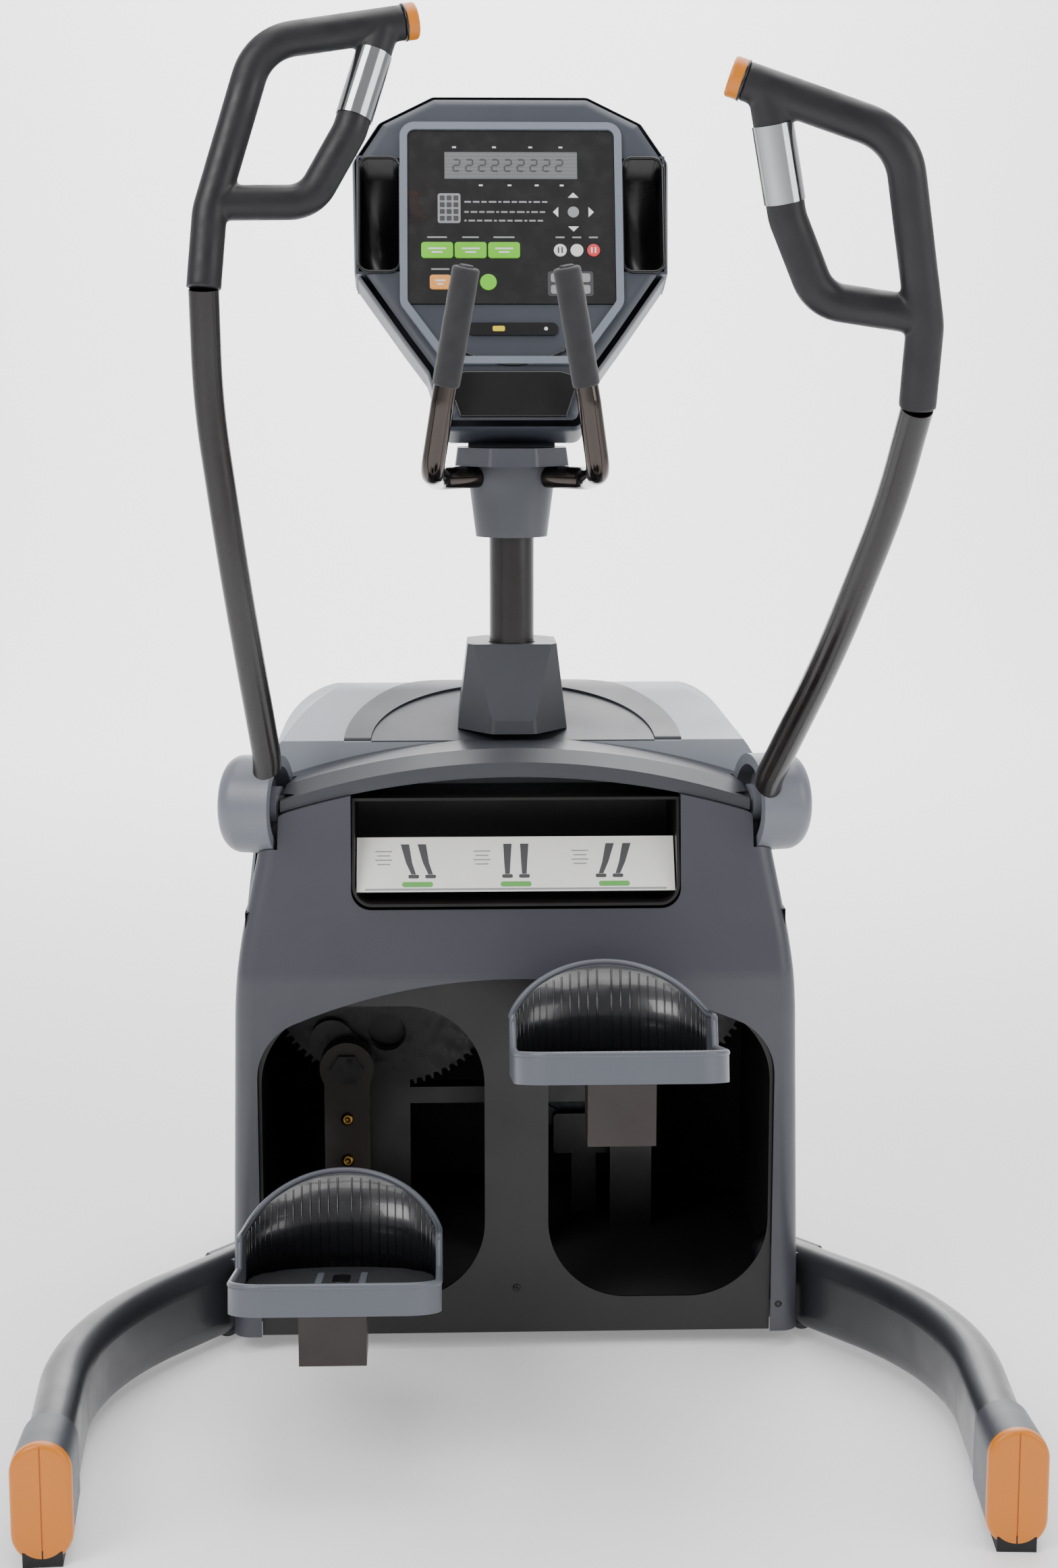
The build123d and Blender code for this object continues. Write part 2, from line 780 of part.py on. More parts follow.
for name, size in KEYS.items():
    with BuildPart() as key:
        with BuildSketch(console_face.offset(-panel_depth + button_travel)):
            add(key_shape(*size, 0))
        extrude(amount=panel_depth - button_travel + panel_proud + key_proud)
        fillet(key.faces().sort_by(Axis.Y)[0].edges(), radius=0.8)
    save(key.part, name)

bracket_rear = console_face.origin.Y + console_depth * cos(radians(console_lean)) + gap
with BuildPart() as console_bracket:
    with BuildSketch(Plane.YZ):
        Polygon(
            (bracket_rear, mast_head), (mast_y + 40, mast_head), (mast_y + 48, 1260),
            (mast_y + 60, 1330), (bracket_rear, 1330), align=None,
        )
    extrude(amount=58, both=True)
    with BuildSketch(console_face):
        add(console_outline(0))
    extrude(amount=-console_depth, mode=Mode.SUBTRACT)
save(console_bracket.part, "console_bracket")

# ---- Drive -------------------------------------------------------------------------------------

bearing_half = 42
flywheel_bearing_half = 27
flywheel_shaft_radius = 10
tooth_pitch = 2 * pi * track / gear_teeth
gear_root_radius = track - 0.32 * tooth_pitch
gear_tip_radius = track + 0.25 * tooth_pitch
lightening_radius = 27
slot_width = 62             # the link disc's width


def gear_blank(first_tooth):
    """A timing gear's outline about its own centre, with a tooth centred at this angle."""
    with BuildSketch() as blank:
        Circle(gear_root_radius)
        with PolarLocations(0, gear_teeth, start_angle=first_tooth):
            Polygon(
                (gear_root_radius - 2, -0.28 * tooth_pitch), (gear_tip_radius, -0.10 * tooth_pitch),
                (gear_tip_radius, 0.10 * tooth_pitch), (gear_root_radius - 2, 0.28 * tooth_pitch),
                align=None,
            )
    return blank.sketch


# planes across the machine are seen from the rear, so their angles run clockwise from the left
for side, sign in SIDES.items():
    pin_x, pin_z = crank_pin_place(sign)
    arm_x, arm_z = arm_place(sign)
    pin_angle = degrees(acos(rest_cosine)) * sign
    with BuildPart() as crank:
        with BuildSketch(upright(sign * track, drive_height, gear_rear)):
            add(gear_blank(0 if side == "right" else 180 + 180 / gear_teeth))
            with PolarLocations(0.56 * track, 5, start_angle=pin_angle + 36):
                Circle(lightening_radius, mode=Mode.SUBTRACT)
        extrude(amount=gear_thickness)
        with BuildSketch(upright(pin_x, pin_z, disc_rear + 1)):
            Circle(crank_pin_radius)
        extrude(amount=gear_rear - disc_rear)
        with BuildSketch(upright(sign * track, drive_height, gear_rear)):
            Circle(shaft_radius)
        extrude(amount=(shaft_front if side == "left" else bearing_front + 4) - gear_rear)
        if side == "left":
            with BuildSketch(upright(-track, drive_height, belt_rear)):
                Circle(pulley_radius)
            extrude(amount=belt_width)
            with BuildSketch(upright(-track, drive_height, belt_rear)):
                with PolarLocations(0.62 * pulley_radius, 6):
                    Circle(0.22 * pulley_radius)
            extrude(amount=belt_width, mode=Mode.SUBTRACT)
    save(crank.part, f"crank_{side}")

    with BuildPart() as link_disc:
        with BuildSketch(upright((pin_x + arm_x) / 2, (pin_z + arm_z + link_height) / 2, disc_rear)):
            SlotCenterToCenter(link_throw, slot_width, rotation=-pin_angle)
        extrude(amount=disc_thickness)
        with BuildSketch(upright(arm_x, arm_z + link_height, link_rear - axial_play)):
            Circle(link_pin_radius)
        extrude(amount=disc_rear - link_rear + axial_play)
        with BuildSketch(upright(arm_x, arm_z + link_height, link_rear - axial_play - 6)):
            RegularPolygon(link_pin_radius + 8, 6)
        extrude(amount=6)
        with BuildSketch(upright(pin_x, pin_z, disc_rear)):
            Circle(crank_pin_radius + running_fit)
        extrude(amount=disc_thickness, mode=Mode.SUBTRACT)
    save(link_disc.part, f"link_disc_{side}")

with BuildPart() as crank_bearings:
    with BuildSketch(upright(0, drive_height, bearing_rear)):
        with Locations((track, 0), (-track, 0)):
            RectangleRounded(2 * bearing_half, 2 * bearing_half, 12)
            Circle(shaft_radius + running_fit, mode=Mode.SUBTRACT)
    extrude(amount=bearing_length)
    with BuildSketch(upright(flywheel_x, flywheel_height, bearing_rear)):
        RectangleRounded(2 * flywheel_bearing_half, 2 * flywheel_bearing_half, 8)
        Circle(flywheel_shaft_radius + running_fit, mode=Mode.SUBTRACT)
    extrude(amount=bearing_length)
save(crank_bearings.part, "crank_bearings")

with BuildPart() as flywheel:
    with BuildSketch(upright(flywheel_x, flywheel_height, bearing_rear - 4)):
        Circle(flywheel_shaft_radius)
    extrude(amount=flywheel_front + 8 - bearing_rear)
    with BuildSketch(upright(flywheel_x, flywheel_height, belt_rear)):
        Circle(flywheel_pulley_radius)
    extrude(amount=belt_width)
    with BuildSketch(upright(flywheel_x, flywheel_height, flywheel_rear)):
        Circle(flywheel_radius)
    extrude(amount=flywheel_thickness)
    with BuildSketch(upright(flywheel_x, flywheel_height, flywheel_rear)):
        Circle(0.8 * flywheel_radius)
        Circle(0.25 * flywheel_radius, mode=Mode.SUBTRACT)
    extrude(amount=flywheel_thickness / 3, mode=Mode.SUBTRACT)
    with BuildSketch(upright(flywheel_x, flywheel_height, flywheel_front - flywheel_thickness / 3)):
        Circle(0.8 * flywheel_radius)
        Circle(0.25 * flywheel_radius, mode=Mode.SUBTRACT)
    extrude(amount=flywheel_thickness / 3, mode=Mode.SUBTRACT)
save(flywheel.part, "flywheel")


def belt_loop(margin):
    """The belt's outline across the machine, this far outside the pulleys' rims."""
    with BuildSketch() as loop:
        with Locations((track, drive_height)):
            Circle(pulley_radius + margin)
        with Locations((-flywheel_x, flywheel_height)):
            Circle(flywheel_pulley_radius + margin)
        make_hull()
    return loop.sketch


with BuildPart() as drive_belt:
    with BuildSketch(upright(0, 0, belt_rear)):
        add(belt_loop(0.3 + belt_thickness))
        add(belt_loop(0.3), mode=Mode.SUBTRACT)
    extrude(amount=belt_width)
save(drive_belt.part, "drive_belt")

# ---- Base frame, brake and feet ----------------------------------------------------------------

rail_top = mast_foot
rail_height = 40
rail_width = 50
rail_x = 235
front_rail_y = 500
foot_radius = 26
upright_width = 60
cross_half = track - upright_width / 2

with BuildPart() as base_frame:
    with BuildSketch(Plane.XY.offset(rail_top - rail_height)):
        with Locations((rail_x, leg_root_y), (-rail_x, leg_root_y)):
            Rectangle(
                rail_width, front_rail_y - leg_root_y + rail_width / 2, align=(Align.CENTER, Align.MIN)
            )
        with Locations((0, leg_root_y + 12)):
            Rectangle(2 * (leg_root_x - 18), rail_width)
        with Locations((0, mast_y)):
            Rectangle(2 * rail_x, 2 * mast_radius + 10)
        with Locations((0, bearing_rear + bearing_length / 2)):
            Rectangle(2 * rail_x, bearing_length)
        with Locations((0, front_rail_y)):
            Rectangle(2 * (rail_x + 60), rail_width)
    extrude(amount=rail_height)
    with BuildSketch(Plane.XY.offset(rail_top)):
        bearing_middle = bearing_rear + bearing_length / 2
        with Locations((track, bearing_middle), (-track, bearing_middle)):
            Rectangle(upright_width, bearing_length)
    extrude(amount=drive_height - bearing_half - rail_top)
    with BuildSketch(upright(0, flywheel_height - flywheel_bearing_half, bearing_rear)):
        Rectangle(2 * cross_half, 24, align=(Align.CENTER, Align.MAX))
    extrude(amount=bearing_length)
    with BuildSketch(across_leg(0)):
        SlotOverall(leg_height, leg_width, rotation=90)
    socket = extrude(amount=-8)
    mirror(socket, about=Plane.YZ)
save(base_frame.part, "base_frame")

with BuildPart() as brake_unit:
    brake_rear = flywheel_rear - 12
    brake_depth = flywheel_thickness + 24
    with BuildSketch(upright(flywheel_x, flywheel_height - flywheel_radius, brake_rear)):
        RectangleRounded(90, 60, 6)
    extrude(amount=brake_depth)
    with BuildSketch(Plane.XY.offset(rail_top)):
        with Locations((flywheel_x, flywheel_rear + flywheel_thickness / 2)):
            Rectangle(36, 30)
    extrude(amount=flywheel_height - flywheel_radius - 20 - rail_top)
    with BuildSketch(upright(flywheel_x, flywheel_height, flywheel_rear - 2)):
        Circle(flywheel_radius + 3)
    extrude(amount=flywheel_thickness + 4, mode=Mode.SUBTRACT)
    with BuildSketch(Plane.XY.offset(rail_top - 10)):
        with Locations((0, flywheel_rear + flywheel_thickness / 2)):
            Rectangle(2 * rail_x - rail_width, 30)
    extrude(amount=10)
save(brake_unit.part, "brake_unit")

# ---- Legs --------------------------------------------------------------------------------------

sleeve_centre = sole_thickness + sleeve_height / 2


def leg_end_plane(back, height):
    """A plane across the right leg's end, this far back from the tip and at this height."""
    return Plane(
        origin=Vector(leg_tip.X, leg_tip.Y, height) - leg_tip_line * back,
        x_dir=(-leg_tip_line.Y, leg_tip_line.X, 0),
        z_dir=leg_tip_line,
    )


with BuildPart() as leg_tube:
    with BuildLine() as leg_route:
        tube_end = leg_tip - leg_tip_line * (2.5 * cap_thickness)
        FilletPolyline(leg_root, leg_corner, tube_end, radius=leg_bend_radius)
    with BuildSketch(across_leg(0)):
        SlotOverall(leg_height, leg_width, rotation=90)
        SlotOverall(leg_height - 2 * leg_wall, leg_width - 2 * leg_wall, rotation=90, mode=Mode.SUBTRACT)
    sweep(path=leg_route.line)

with BuildPart() as leg_sleeve:
    with BuildSketch(leg_end_plane(sleeve_length, leg_root.Z + 3)):
        SlotOverall(leg_height + 14, leg_width + 8, rotation=90)
    with BuildSketch(leg_end_plane(cap_thickness, sleeve_centre)):
        SlotOverall(sleeve_height, sleeve_width, rotation=90)
    loft()
    with BuildSketch(leg_end_plane(sleeve_length + 1, leg_root.Z)):
        SlotOverall(leg_height + 0.2, leg_width + 0.2, rotation=90)
    extrude(amount=sleeve_length + 1 - 2.5 * cap_thickness, mode=Mode.SUBTRACT)

with BuildPart() as leg_cap:
    with BuildSketch(leg_end_plane(cap_thickness, sleeve_centre)):
        SlotOverall(sleeve_height, sleeve_width, rotation=90)
    extrude(amount=cap_thickness)
    fillet(leg_cap.faces().sort_by(Axis.Y)[0].edges(), radius=6)
    with BuildSketch(leg_end_plane(1.5, sleeve_centre)):
        Rectangle(1.6, sleeve_height)
    extrude(amount=3, mode=Mode.SUBTRACT)

with BuildPart() as leg_sole:
    with BuildSketch(leg_end_plane(0, 0)):
        Rectangle(44, 18, align=(Align.CENTER, Align.MIN))
    extrude(amount=-0.9 * sleeve_length)
    add(leg_sleeve.part, mode=Mode.SUBTRACT)
    add(leg_cap.part, mode=Mode.SUBTRACT)
    add(leg_tube.part, mode=Mode.SUBTRACT)

with BuildPart() as leg_collar:
    with BuildSketch(across_leg(collar_start)):
        SlotOverall(leg_height + 2 * collar_wall, leg_width + 2 * collar_wall, rotation=90)
        SlotOverall(leg_height + 0.2, leg_width + 0.2, rotation=90, mode=Mode.SUBTRACT)
        with Locations((0, -leg_height)):
            Rectangle(2 * leg_width, leg_height + 2 * leg_floor_gap, mode=Mode.SUBTRACT)
    extrude(amount=collar_length)

for name, piece in {"leg_tube": leg_tube, "leg_sleeve": leg_sleeve}.items():
    save(piece.part, f"{name}_right")
    save(mirror(piece.part, about=Plane.YZ), f"{name}_left")

with BuildPart() as leg_caps:
    add(leg_cap.part)
    mirror(about=Plane.YZ)
save(leg_caps.part, "leg_caps")

with BuildPart() as leg_collars:
    add(leg_collar.part)
    mirror(about=Plane.YZ)
save(leg_collars.part, "leg_collars")

with BuildPart() as rubber_feet:
    with BuildSketch(Plane.XY):
        with Locations((rail_x + 30, front_rail_y), (-rail_x - 30, front_rail_y)):
            Circle(foot_radius)
        with Locations((rail_x, leg_root_y), (-rail_x, leg_root_y)):
            Circle(foot_radius)
    extrude(amount=rail_top - rail_height)
    add(leg_sole.part)
    mirror(leg_sole.part, about=Plane.YZ)
save(rubber_feet.part, "rubber_feet")

# ---- Pedals ------------------------------------------------------------------------------------

pedal_rise = 50             # underside of the pedal's middle above the arm tube's centre
pedal_middle_y = -270
pad_thickness = 5
pad_margin = 1.2
toe_corner = 116            # the rounded front of the pedal
heel_corner = 42
toe_rise_start = 185        # the rim starts to climb this far behind the toe


def pedal_plane(sign, height=0):
    """A plane in one side's pedal, this far above its underside. It leans toe down."""
    arm_x, arm_z = arm_place(sign)
    tilt = radians(pedal_tilt)
    under = Plane(
        origin=(arm_x - sign * pedal_inset, pedal_middle_y, arm_z + pedal_rise),
        x_dir=(1, 0, 0),
        z_dir=(0, sin(tilt), cos(tilt)),
    )
    return under.offset(height)


def across_pedal(sign):
    """A plane across one pedal at the height of its heel rim."""
    flat = pedal_plane(sign, pedal_floor + pedal_heel_rise)
    return Plane(origin=flat.origin, x_dir=(-1, 0, 0), z_dir=flat.y_dir)


def pedal_outline(margin):
    """The pedal's outline in plan, moved inward by margin: square heel corners, rounded toe."""
    with BuildSketch() as outline:
        Rectangle(pedal_width, pedal_length)
        fillet(outline.vertices().group_by(Axis.Y)[0], radius=heel_corner)
        fillet(outline.vertices().group_by(Axis.Y)[-1], radius=toe_corner)
        if margin:
            offset(amount=-margin)
    return outline.sketch


for side, sign in SIDES.items():
    arm_x, arm_z = arm_place(sign)
    with BuildPart() as pedal_arm:
        with BuildSketch(upright(arm_x, arm_z - arm_drop, block_rear + block_length)):
            RectangleRounded(arm_width, arm_height, 8)
            RectangleRounded(arm_width - 2 * arm_wall, arm_height - 2 * arm_wall, 5, mode=Mode.SUBTRACT)
        extrude(amount=arm_front - block_rear - block_length)
        with BuildSketch(Plane.XY.offset(arm_z - block_drop)):
            with Locations((arm_x, block_rear)):
                Rectangle(block_width, block_length, align=(Align.CENTER, Align.MIN))
        extrude(amount=block_drop + block_rise)
        with BuildSketch(Plane.XY.offset(arm_z - block_drop)):
            with Locations((arm_x, block_rear + arm_wall)):
                Rectangle(
                    block_width - 2 * arm_wall, block_length - 2 * arm_wall, align=(Align.CENTER, Align.MIN)
                )
        extrude(amount=block_drop + pedal_rise - 4 * arm_wall, mode=Mode.SUBTRACT)
        with BuildSketch(pedal_plane(sign)):
            Rectangle(2 * block_width, 2 * block_length)
        extrude(amount=2 * block_rise, mode=Mode.SUBTRACT)
        with BuildSketch(upright(arm_x, arm_z, link_rear)):
            with Locations((0, -arm_drop - arm_height / 2)):
                Rectangle(
                    arm_width, link_height + arm_drop + arm_height / 2, align=(Align.CENTER, Align.MIN)
                )
            with Locations((0, link_height)):
                Circle(bearing_outer_radius)
        extrude(amount=link_thickness)
        with BuildSketch(upright(arm_x, arm_z + link_height, link_rear)):
            Circle(bearing_outer_radius)
        extrude(amount=boss_front - link_rear)
        with BuildSketch(upright(arm_x, arm_z + link_height, link_rear)):
            Circle(link_pin_radius + running_fit)
        extrude(amount=boss_front - link_rear, mode=Mode.SUBTRACT)
    save(pedal_arm.part, f"pedal_arm_{side}")

    with BuildPart() as pedal_tray:
        with BuildSketch(pedal_plane(sign)):
            add(pedal_outline(0))
        extrude(amount=pedal_floor + pedal_toe_rise)
        with BuildSketch(pedal_plane(sign, pedal_floor)):
            add(pedal_outline(pedal_wall))
        extrude(amount=2 * pedal_toe_rise, mode=Mode.SUBTRACT)
        with BuildSketch(pedal_plane(sign, pedal_floor + pedal_heel_rise)):
            with Locations((0, -pedal_length / 2)):
                Rectangle(2 * pedal_width, pedal_length - toe_rise_start, align=(Align.CENTER, Align.MIN))
        extrude(amount=2 * pedal_toe_rise, mode=Mode.SUBTRACT)
        with BuildSketch(across_pedal(sign)):
            Rectangle(2 * pedal_width, 2 * pedal_toe_rise, align=(Align.CENTER, Align.MIN))
            Ellipse(pedal_width / 2 + pedal_wall, pedal_toe_rise - pedal_heel_rise, mode=Mode.SUBTRACT)
        extrude(amount=pedal_length, both=True, mode=Mode.SUBTRACT)
    save(pedal_tray.part, f"pedal_tray_{side}")

    with BuildPart() as pedal_pad:
        with BuildSketch(pedal_plane(sign, pedal_floor)):
            add(pedal_outline(pedal_wall + pad_margin))
        extrude(amount=pad_thickness)
    save(pedal_pad.part, f"pedal_pad_{side}")

# ---- Handlebars --------------------------------------------------------------------------------

# the right handlebar in the middle of its swing
tube_route = [(326, 34, 736), (322, 6, 784), (365, -118, 1002), (402, -190, 1205), (409, -244, 1332)]
tube_bends = [150, 900, 900]
outer_loop = [(409, -244, 1332), (406, -250, 1425), (356, -262, 1628), (170, -230, 1678)]
inner_loop = [(404, -248, 1436), (288, -238, 1446), (244, -242, 1534), (211, -237, 1664)]
plate_length = 84
plate_wall = 1.2

cap_line = (Vector(*outer_loop[3]) - Vector(*outer_loop[2])).normalized()
plate_line = (Vector(*inner_loop[3]) - Vector(*inner_loop[2])).normalized()
plate_middle = Vector(*inner_loop[2]) * 0.56 + Vector(*inner_loop[3]) * 0.44

with BuildPart() as hub_drum:
    with BuildSketch(along_hub(-hub_length / 2 + 6)):
        Circle(hub_radius)
    extrude(amount=hub_length)
    fillet(hub_drum.edges().sort_by(hub_axis)[-1], radius=24)
    with BuildSketch(along_hub(-hub_length / 2 + 6)):
        Circle(stub_radius + running_fit)
    extrude(amount=hub_length / 2 - 6 + stub_outer + 1, mode=Mode.SUBTRACT)
    with BuildSketch(along_hub(-hub_length / 2 + 6)):
        Circle(hub_radius - 14)
        Circle(stub_radius + 12, mode=Mode.SUBTRACT)
    extrude(amount=20, mode=Mode.SUBTRACT)

with BuildPart() as handle_tube:
    with BuildLine() as tube_line:
        FilletPolyline(*tube_route, radius=tube_bends)
    with BuildSketch(Plane(origin=tube_line.line @ 0, z_dir=tube_line.line % 0)):
        Circle(handle_tube_radius)
        Circle(handle_tube_radius - handle_tube_wall, mode=Mode.SUBTRACT)
    sweep(path=tube_line.line)
    with BuildSketch(along_hub(-hub_length)):
        Circle(hub_radius)
    extrude(amount=2 * hub_length, mode=Mode.SUBTRACT)

with BuildPart() as handle_grip:
    with BuildLine() as outer_line:
        FilletPolyline(*outer_loop[:3], Vector(*outer_loop[3]) - cap_line * handle_cap_length, radius=68)
    with BuildSketch(Plane(origin=outer_line.line @ 0, z_dir=outer_line.line % 0)):
        Circle(handle_grip_radius)
    sweep(path=outer_line.line)
    with BuildLine() as inner_line:
        FilletPolyline(*inner_loop, radius=44)
    with BuildSketch(Plane(origin=inner_line.line @ 0, z_dir=inner_line.line % 0)):
        Circle(handle_grip_radius)
    sweep(path=inner_line.line)
    add(handle_tube.part, mode=Mode.SUBTRACT)

with BuildPart() as pulse_plates:
    with BuildSketch(Plane(origin=plate_middle - plate_line * (plate_length / 2), z_dir=plate_line)):
        Circle(handle_grip_radius + plate_wall)
        Circle(handle_grip_radius + 0.1, mode=Mode.SUBTRACT)
    extrude(amount=plate_length)

with BuildPart() as handle_cap:
    with BuildSketch(Plane(origin=Vector(*outer_loop[3]) - cap_line * handle_cap_length, z_dir=cap_line)):
        Circle(handle_grip_radius + 0.6)
    extrude(amount=handle_cap_length)
    fillet(handle_cap.edges().sort_by(Axis(Vector(0, 0, 0), cap_line))[-1], radius=4)

for name, piece in {
    "hub_drum": hub_drum, "handle_tube": handle_tube, "handle_grip": handle_grip,
    "pulse_plates": pulse_plates, "handle_cap": handle_cap,
}.items():
    save(piece.part.rotate(hub_axis, handle_swing), f"{name}_right")
    save(mirror(piece.part.rotate(hub_axis, -handle_swing), about=Plane.YZ), f"{name}_left")
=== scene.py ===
"""Looks for a lateral-motion elliptical trainer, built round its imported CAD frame.

Places are in millimetres in the frame's own axes and become metres when a mesh is made.
"""

import json
from math import cos, hypot, pi, radians, sin

import bpy
from bpy.props import FloatProperty, IntProperty, PointerProperty, StringProperty
from mathutils import Matrix, Vector


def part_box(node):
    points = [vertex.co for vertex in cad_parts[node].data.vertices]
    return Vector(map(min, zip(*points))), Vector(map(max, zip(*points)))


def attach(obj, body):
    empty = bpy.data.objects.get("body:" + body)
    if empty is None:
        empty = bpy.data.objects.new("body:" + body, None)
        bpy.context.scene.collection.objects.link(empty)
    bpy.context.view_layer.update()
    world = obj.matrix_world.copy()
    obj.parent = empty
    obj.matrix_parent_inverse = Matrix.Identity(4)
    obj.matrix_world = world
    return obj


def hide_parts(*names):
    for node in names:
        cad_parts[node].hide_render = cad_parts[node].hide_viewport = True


bl_info = {
    "name": "Lateral Elliptical Trainer",
    "version": (1, 0, 0),
    "blender": (4, 5, 0),
    "location": "View3D > Sidebar > Trainer",
    "description": "Finishes and fine parts for an elliptical trainer built round its CAD frame",
    "category": "Object",
}

MM = 0.001

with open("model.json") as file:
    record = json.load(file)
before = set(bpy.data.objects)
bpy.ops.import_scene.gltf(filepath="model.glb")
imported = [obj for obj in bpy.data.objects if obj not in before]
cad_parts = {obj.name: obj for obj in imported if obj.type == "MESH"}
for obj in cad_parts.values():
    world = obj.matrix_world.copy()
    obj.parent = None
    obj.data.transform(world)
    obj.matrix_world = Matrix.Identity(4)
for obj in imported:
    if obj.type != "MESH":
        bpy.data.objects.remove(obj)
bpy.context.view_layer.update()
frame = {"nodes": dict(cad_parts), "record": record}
nodes = frame["nodes"]

# ---- Places shared with the CAD frame, in millimetres -------------------------------------------

CONSOLE_ORIGIN = Vector((0, 120, 1217))
CONSOLE_LEAN = 18.6
HUB = Vector((335, 60, 731))
HUB_YAW = 13.3
HALF_SWING = 12.6
PEDAL_TILT = 13
PEDAL_WIDTH, PEDAL_LENGTH, PEDAL_WALL, PEDAL_FLOOR = 248, 350, 6, 8
HEEL_CORNER, TOE_CORNER = 42, 116
HEEL_RISE, TOE_RISE, TOE_RISE_START = 26, 128, 185
PEDAL_MIDDLES = {"left": Vector((-223, -270, 182)), "right": Vector((109, -270, 454))}
OUTER_LOOP = [(409, -244, 1332), (406, -250, 1425), (356, -262, 1628), (170, -230, 1678)]
INNER_LOOP = [(404, -248, 1436), (288, -238, 1446), (244, -242, 1534), (211, -237, 1664)]
FIXED_GRIP = (Vector((92, -2, 1249)), Vector((64, -20, 1404)))
SIDES = {"left": -1, "right": 1}


# ---- What a user would change -------------------------------------------------------------------


def colour(label, value):
    return StringProperty(name=label, description=f"{label} colour, as an sRGB hex value", default=value)


class TrainerColours(bpy.types.PropertyGroup):
    """Colours of the finishes."""

    hood: colour("Rear cover", "#3f3f47")
    bridge: colour("Bridge and deck", "#34363c")
    dome: colour("Front cover", "#8f949c")
    panel: colour("Rear panel", "#0e0b0a")
    steel: colour("Powder-coated steel", "#0c0b0b")
    pedal: colour("Pedal", "#575a62")
    pad: colour("Pedal pad", "#1d1e21")
    leg: colour("Leg tube", "#292a2e")
    accent: colour("Accent plastic", "#cd7402")
    grip: colour("Handle grip", "#1b1a1d")
    console: colour("Console shell", "#3a3e47")
    bezel: colour("Console bezel", "#747a85")
    start_key: colour("Start keys", "#6fd01c")


class TrainerSizes(bpy.types.PropertyGroup):
    """Sizes of the surface detail."""

    grain: FloatProperty(name="Moulded grain", description="Spacing of the moulded grain, in millimetres",
                         default=1.1, min=0.3, max=5)
    pad_ring: FloatProperty(name="Pad rings", description="Spacing of the rings on a pad, in millimetres",
                            default=7.5, min=3, max=20)
    ribs: IntProperty(name="Toe ribs", description="Ribs round the inside of each toe",
                      default=30, min=5, max=80)
    weld: FloatProperty(name="Grip mesh", description="Size of one face of the moulded grips",
                        default=0.0026, min=0.001, max=0.006, unit="LENGTH")


# ---- Helpers ------------------------------------------------------------------------------------


def linear(hex_value):
    """An sRGB hex value as linear RGBA."""
    channels = [int(hex_value[i:i + 2], 16) / 255 for i in (1, 3, 5)]
    return (*[c / 12.92 if c <= 0.04045 else ((c + 0.055) / 1.055) ** 2.4 for c in channels], 1)


def add_node(tree, kind, inputs=None, **settings):
    """Add one node, set its settings, and give each input a value or a link."""
    node = tree.nodes.new(kind)
    for name, value in settings.items():
        setattr(node, name, value)
    for name, value in (inputs or {}).items():
        if isinstance(value, bpy.types.NodeSocket):
            tree.links.new(value, node.inputs[name])
        else:
            node.inputs[name].default_value = value
    return node


def link_piece(name, mesh, material, body, smooth=True):
    """Put a mesh in the scene as a piece of the object."""
    piece = bpy.data.objects.new(name, mesh)
    bpy.context.scene.collection.objects.link(piece)
    mesh.materials.append(material)
    for face in mesh.polygons:
        face.use_smooth = smooth
    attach(piece, body)
    return piece


def mesh_of(name, verts, faces):
    """A mesh from points in millimetres."""
    mesh = bpy.data.meshes.new(name)
    mesh.from_pydata([Vector(v) * MM for v in verts], [], faces)
    mesh.validate()
    return mesh


def soften(piece, width, angle=35, segments=3):
    """Round the edges that are sharper than an angle, and keep the flats flat."""
    bevel = piece.modifiers.new("edges", "BEVEL")
    bevel.width, bevel.segments, bevel.limit_method = width * MM, segments, "ANGLE"
    bevel.angle_limit = radians(angle)
    bevel.harden_normals = True
    return piece


def turned(profile, start, line, segments=40):
    """Points and faces of a profile, as (along, radius) pairs, turned about a line."""
    line = Vector(line).normalized()
    side = line.orthogonal().normalized()
    over = line.cross(side)
    verts, faces = [], []
    for along, radius in profile:
        for k in range(segments):
            angle = 2 * pi * k / segments
            verts.append(Vector(start) + line * along + (side * cos(angle) + over * sin(angle)) * radius)
    for ring in range(len(profile) - 1):
        for k in range(segments):
            a, b = ring * segments + k, ring * segments + (k + 1) % segments
            faces.append((a, b, b + segments, a + segments))
    faces.append(tuple(reversed(range(segments))))
    faces.append(tuple(range((len(profile) - 1) * segments, len(profile) * segments)))
    return verts, faces


def swept(route, radius, segments=28):
    """Points and faces of a round bar along a route, with closed ends."""
    route = [Vector(p) for p in route]
    verts, faces = [], []
    ahead = (route[1] - route[0]).normalized()
    side = ahead.orthogonal().normalized()
    for i, point in enumerate(route):
        before, after = route[max(i - 1, 0)], route[min(i + 1, len(route) - 1)]
        ahead = (after - before).normalized()
        side = (side - ahead * side.dot(ahead)).normalized()
        over = ahead.cross(side)
        for k in range(segments):
            angle = 2 * pi * k / segments
            verts.append(point + (side * cos(angle) + over * sin(angle)) * radius)
    for ring in range(len(route) - 1):
        for k in range(segments):
            a, b = ring * segments + k, ring * segments + (k + 1) % segments
            faces.append((a, b, b + segments, a + segments))
    faces.append(tuple(reversed(range(segments))))
    faces.append(tuple(range((len(route) - 1) * segments, len(route) * segments)))
    return verts, faces


